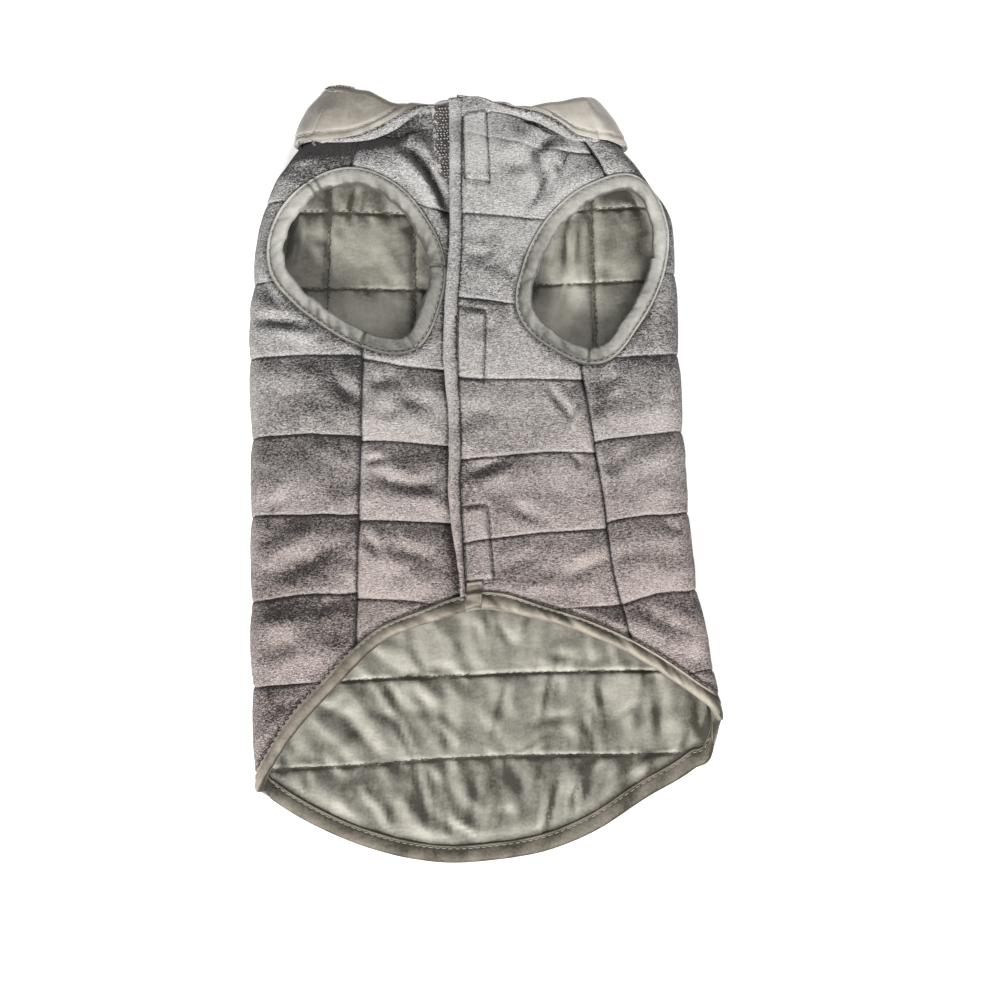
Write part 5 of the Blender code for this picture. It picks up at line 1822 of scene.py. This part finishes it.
CAMERA_DISTANCE = 0.80
CAMERA_TILT = 7.0  # from straight above towards the hem
CAMERA_ROLL = -3.3
CAMERA_TARGET = (6.0, -4.5, 12.0)
CAMERA_OFFSET = (6.5, -13.0)  # along the picture's right and up
LENS = 57.6


def make_camera():
    camera = bpy.data.cameras.new("camera")
    camera.lens = LENS
    camera.sensor_width = 36.0
    piece = bpy.data.objects.new("camera", camera)
    tilt = np.radians(CAMERA_TILT)
    back = np.array([0.0, -np.sin(tilt), np.cos(tilt)])
    piece.rotation_euler = facing(back, CAMERA_ROLL)
    turn = np.array(piece.rotation_euler.to_matrix())
    offset = turn[:, 0] * CAMERA_OFFSET[0] + turn[:, 1] * CAMERA_OFFSET[1]
    piece.location = (np.array(CAMERA_TARGET) + offset) * MM + back * CAMERA_DISTANCE
    bpy.context.scene.collection.objects.link(piece)
    bpy.context.scene.camera = piece
    bpy.context.scene.view_settings.view_transform = "Standard"


def quilting_inside(lining_piece):
    """Stitches along the quilting lines of the back's lining, which shows through the openings."""
    surface = Cloth(lining_piece)
    sewn = []
    laps = np.linspace(2.02, 3.98, 160)
    for line in BACK_QUILT:
        if line[0] > 5:  # the neck hides these
            continue
        y = line_at(line, laps)
        x = BACK.at(laps, y)[0]
        inside = hem_distance(x, y, False) > BINDING + 1
        if inside.sum() > 4:
            sewn.append(sew(surface, x[inside], y[inside], 9.0, lift=0.1, seed=62))
    for line in UPRIGHTS:
        y = np.linspace(UPRIGHT_SEEN, UPRIGHT_TOP - 8, 45)
        x = line.top_x + (line.end_x - line.top_x) * (UPRIGHT_TOP - y) / (UPRIGHT_TOP - line.end_y)
        sewn.append(sew(surface, x, y, 9.0, lift=0.1, seed=63))
    return np.concatenate(sewn)


def loose_threads():
    """Paths of the curled thread ends."""
    paths = []
    for k, (x, y, z, size) in enumerate(LOOSE_ENDS):
        random = np.random.default_rng(90 + k)
        turn = np.cumsum(random.normal(0, 0.42, LOOSE_STEPS)) + random.uniform(0, 2 * np.pi)
        rise = 0.25 * np.sin(np.arange(LOOSE_STEPS) * 0.7 + k)
        step = size * np.stack([np.cos(turn), np.sin(turn), rise], 1)
        paths.append(np.array([x, y, z]) + np.cumsum(step, axis=0))
    return np.array(paths)


COLLAR_THREADS = ("collar_sewing", "collar_serging", "collar_overlock")
# What each piece was cut from, in metres, before it was sewn: width and length, how it is held and
# what it rests on. Area is for a cut that isn't a rectangle.
Cut = namedtuple("Cut", "piece width length held rests_on area extras")
CUTS = rows_of(
    Cut,
    ("back_plush", 0.342, 0.370, "laid", ("back_inner",), 0.100, ("quilt_sewing",)),
    ("back_inner", 0.342, 0.370, "laid", ("back_plush",), 0.098, ()),
    ("belly_left_cloth", 0.085, 0.262, "laid", ("back_inner",), 0.0155, ()),
    ("belly_right_cloth", 0.075, 0.250, "laid", ("belly_left_cloth",), 0.0165, ("tape_sewing",)),
    (
        "armhole_edge_left", 0.0115, 0.285, "laid", ("belly_left_cloth",), None,
        ("armhole_sewing_left",),
    ),
    (
        "armhole_edge_right", 0.0115, 0.270, "laid", ("belly_right_cloth",), None,
        ("armhole_sewing_right",),
    ),
    ("hem_edge", 0.0145, 0.500, "laid", ("back_plush",), None, ("hem_sewing", "loose_ends")),
    ("hem_fold", 0.010, 0.0138, "folded", ("hem_edge",), None, ()),
    ("placket_edge", 0.010, 0.255, "folded", ("belly_right_cloth",), None, ()),
    ("collar_plush", 0.036, 0.400, "folded", ("back_plush",), None, ()),
    ("collar_inner", 0.034, 0.400, "folded", ("collar_plush",), None, COLLAR_THREADS),
    ("hooks_top", 0.011, 0.039, "laid", ("belly_left_cloth",), None, ("hooks_top_hooks",)),
    ("hooks_middle", 0.016, 0.036, "laid", ("belly_left_cloth",), None, ("hooks_middle_hooks",)),
    ("hooks_low", 0.0187, 0.036, "laid", ("belly_left_cloth",), None, ("hooks_low_hooks",)),
    ("loops_top", 0.0177, 0.037, "laid", ("belly_right_cloth",), None, ()),
    ("loops_middle", 0.0173, 0.036, "laid", ("belly_right_cloth",), None, ()),
    ("loops_low", 0.0196, 0.036, "laid", ("belly_right_cloth",), None, ()),
)


def make_stitching(sewn):
    """All visible thread, by colour."""
    pale = thread_material("thread_pale", rgb(190, 186, 174))
    dark = thread_material("thread_dark", rgb(88, 84, 74))
    grey = thread_material("thread_grey", rgb(128, 124, 120))
    colours = {"pale": pale, "dark": dark, "grey": grey}
    for name, colour, paths, radius in sewn:
        threads(name, paths, radius, [colours[colour]])


def main():
    make_camera()
    make_lights()
    make_stage()
    plush = plush_material(
        "plush", rgb(58, 56, 55), rgb(224, 221, 218), (rgb(56, 48, 46), rgb(216, 201, 195))
    )
    lining = lining_material("lining", rgb(71, 69, 60), rgb(187, 183, 171), sewn=0.45)
    collar_lining = lining_material("collar_satin", rgb(116, 110, 101), rgb(188, 182, 172))
    # The armhole binding and the hem binding are one cloth, drawn lighter and darker: partly
    # painted light and shade, partly their own tone
    binding = lining_material("binding", rgb(90, 88, 82), rgb(192, 190, 182), 0.2, 0.6)
    hem_cloth = lining_material("hem_cloth", rgb(66, 61, 52), rgb(172, 163, 148), 0.2, 0.6)
    tape = tape_material("tape", rgb(34, 32, 32), rgb(104, 99, 97))
    hooks = thread_material("hooks", rgb(226, 222, 220))
    make_back(plush)
    back_inner = make_back_lining(lining)
    make_belly("left", plush, lining)
    belly_right = make_belly("right", plush, lining)
    sewn = []
    for side in ("left", "right"):
        sewn.append(("armhole_sewing_" + side, "pale", make_armhole_binding(side, binding), THREAD))
    sewn.append(("hem_sewing", "pale", make_hem_binding(hem_cloth), THREAD))
    make_band(plush)
    make_tab(hem_cloth)
    for row in ("top", "middle", "low"):
        make_tape("hooks_" + row, "hook_" + row, UNDER, True, tape, hooks)
        make_tape("loops_" + row, "loop_" + row, OVER, False, tape, hooks)
    topstitch, serging = make_collar(plush, collar_lining)
    sewn.append(("collar_sewing", "pale", topstitch, THREAD))
    sewn.append(("collar_serging", "pale", serging[::2], SERGING))
    sewn.append(("collar_overlock", "dark", serging[1::2], SERGING))
    sewn.append(("quilt_sewing", "dark", quilting_inside(back_inner), THREAD))
    front = Cloth(belly_right)
    rounds = []
    for patch in PATCHES:
        x, y = np.array(patch + patch[:2]).reshape(5, 2).T
        rounds.append(sew(front, x, y, lift=0.1, seed=64))
    sewn.append(("tape_sewing", "grey", np.concatenate(rounds), THREAD))
    sewn.append(("loose_ends", "dark", loose_threads(), LOOSE))
    make_stitching(sewn)


main()
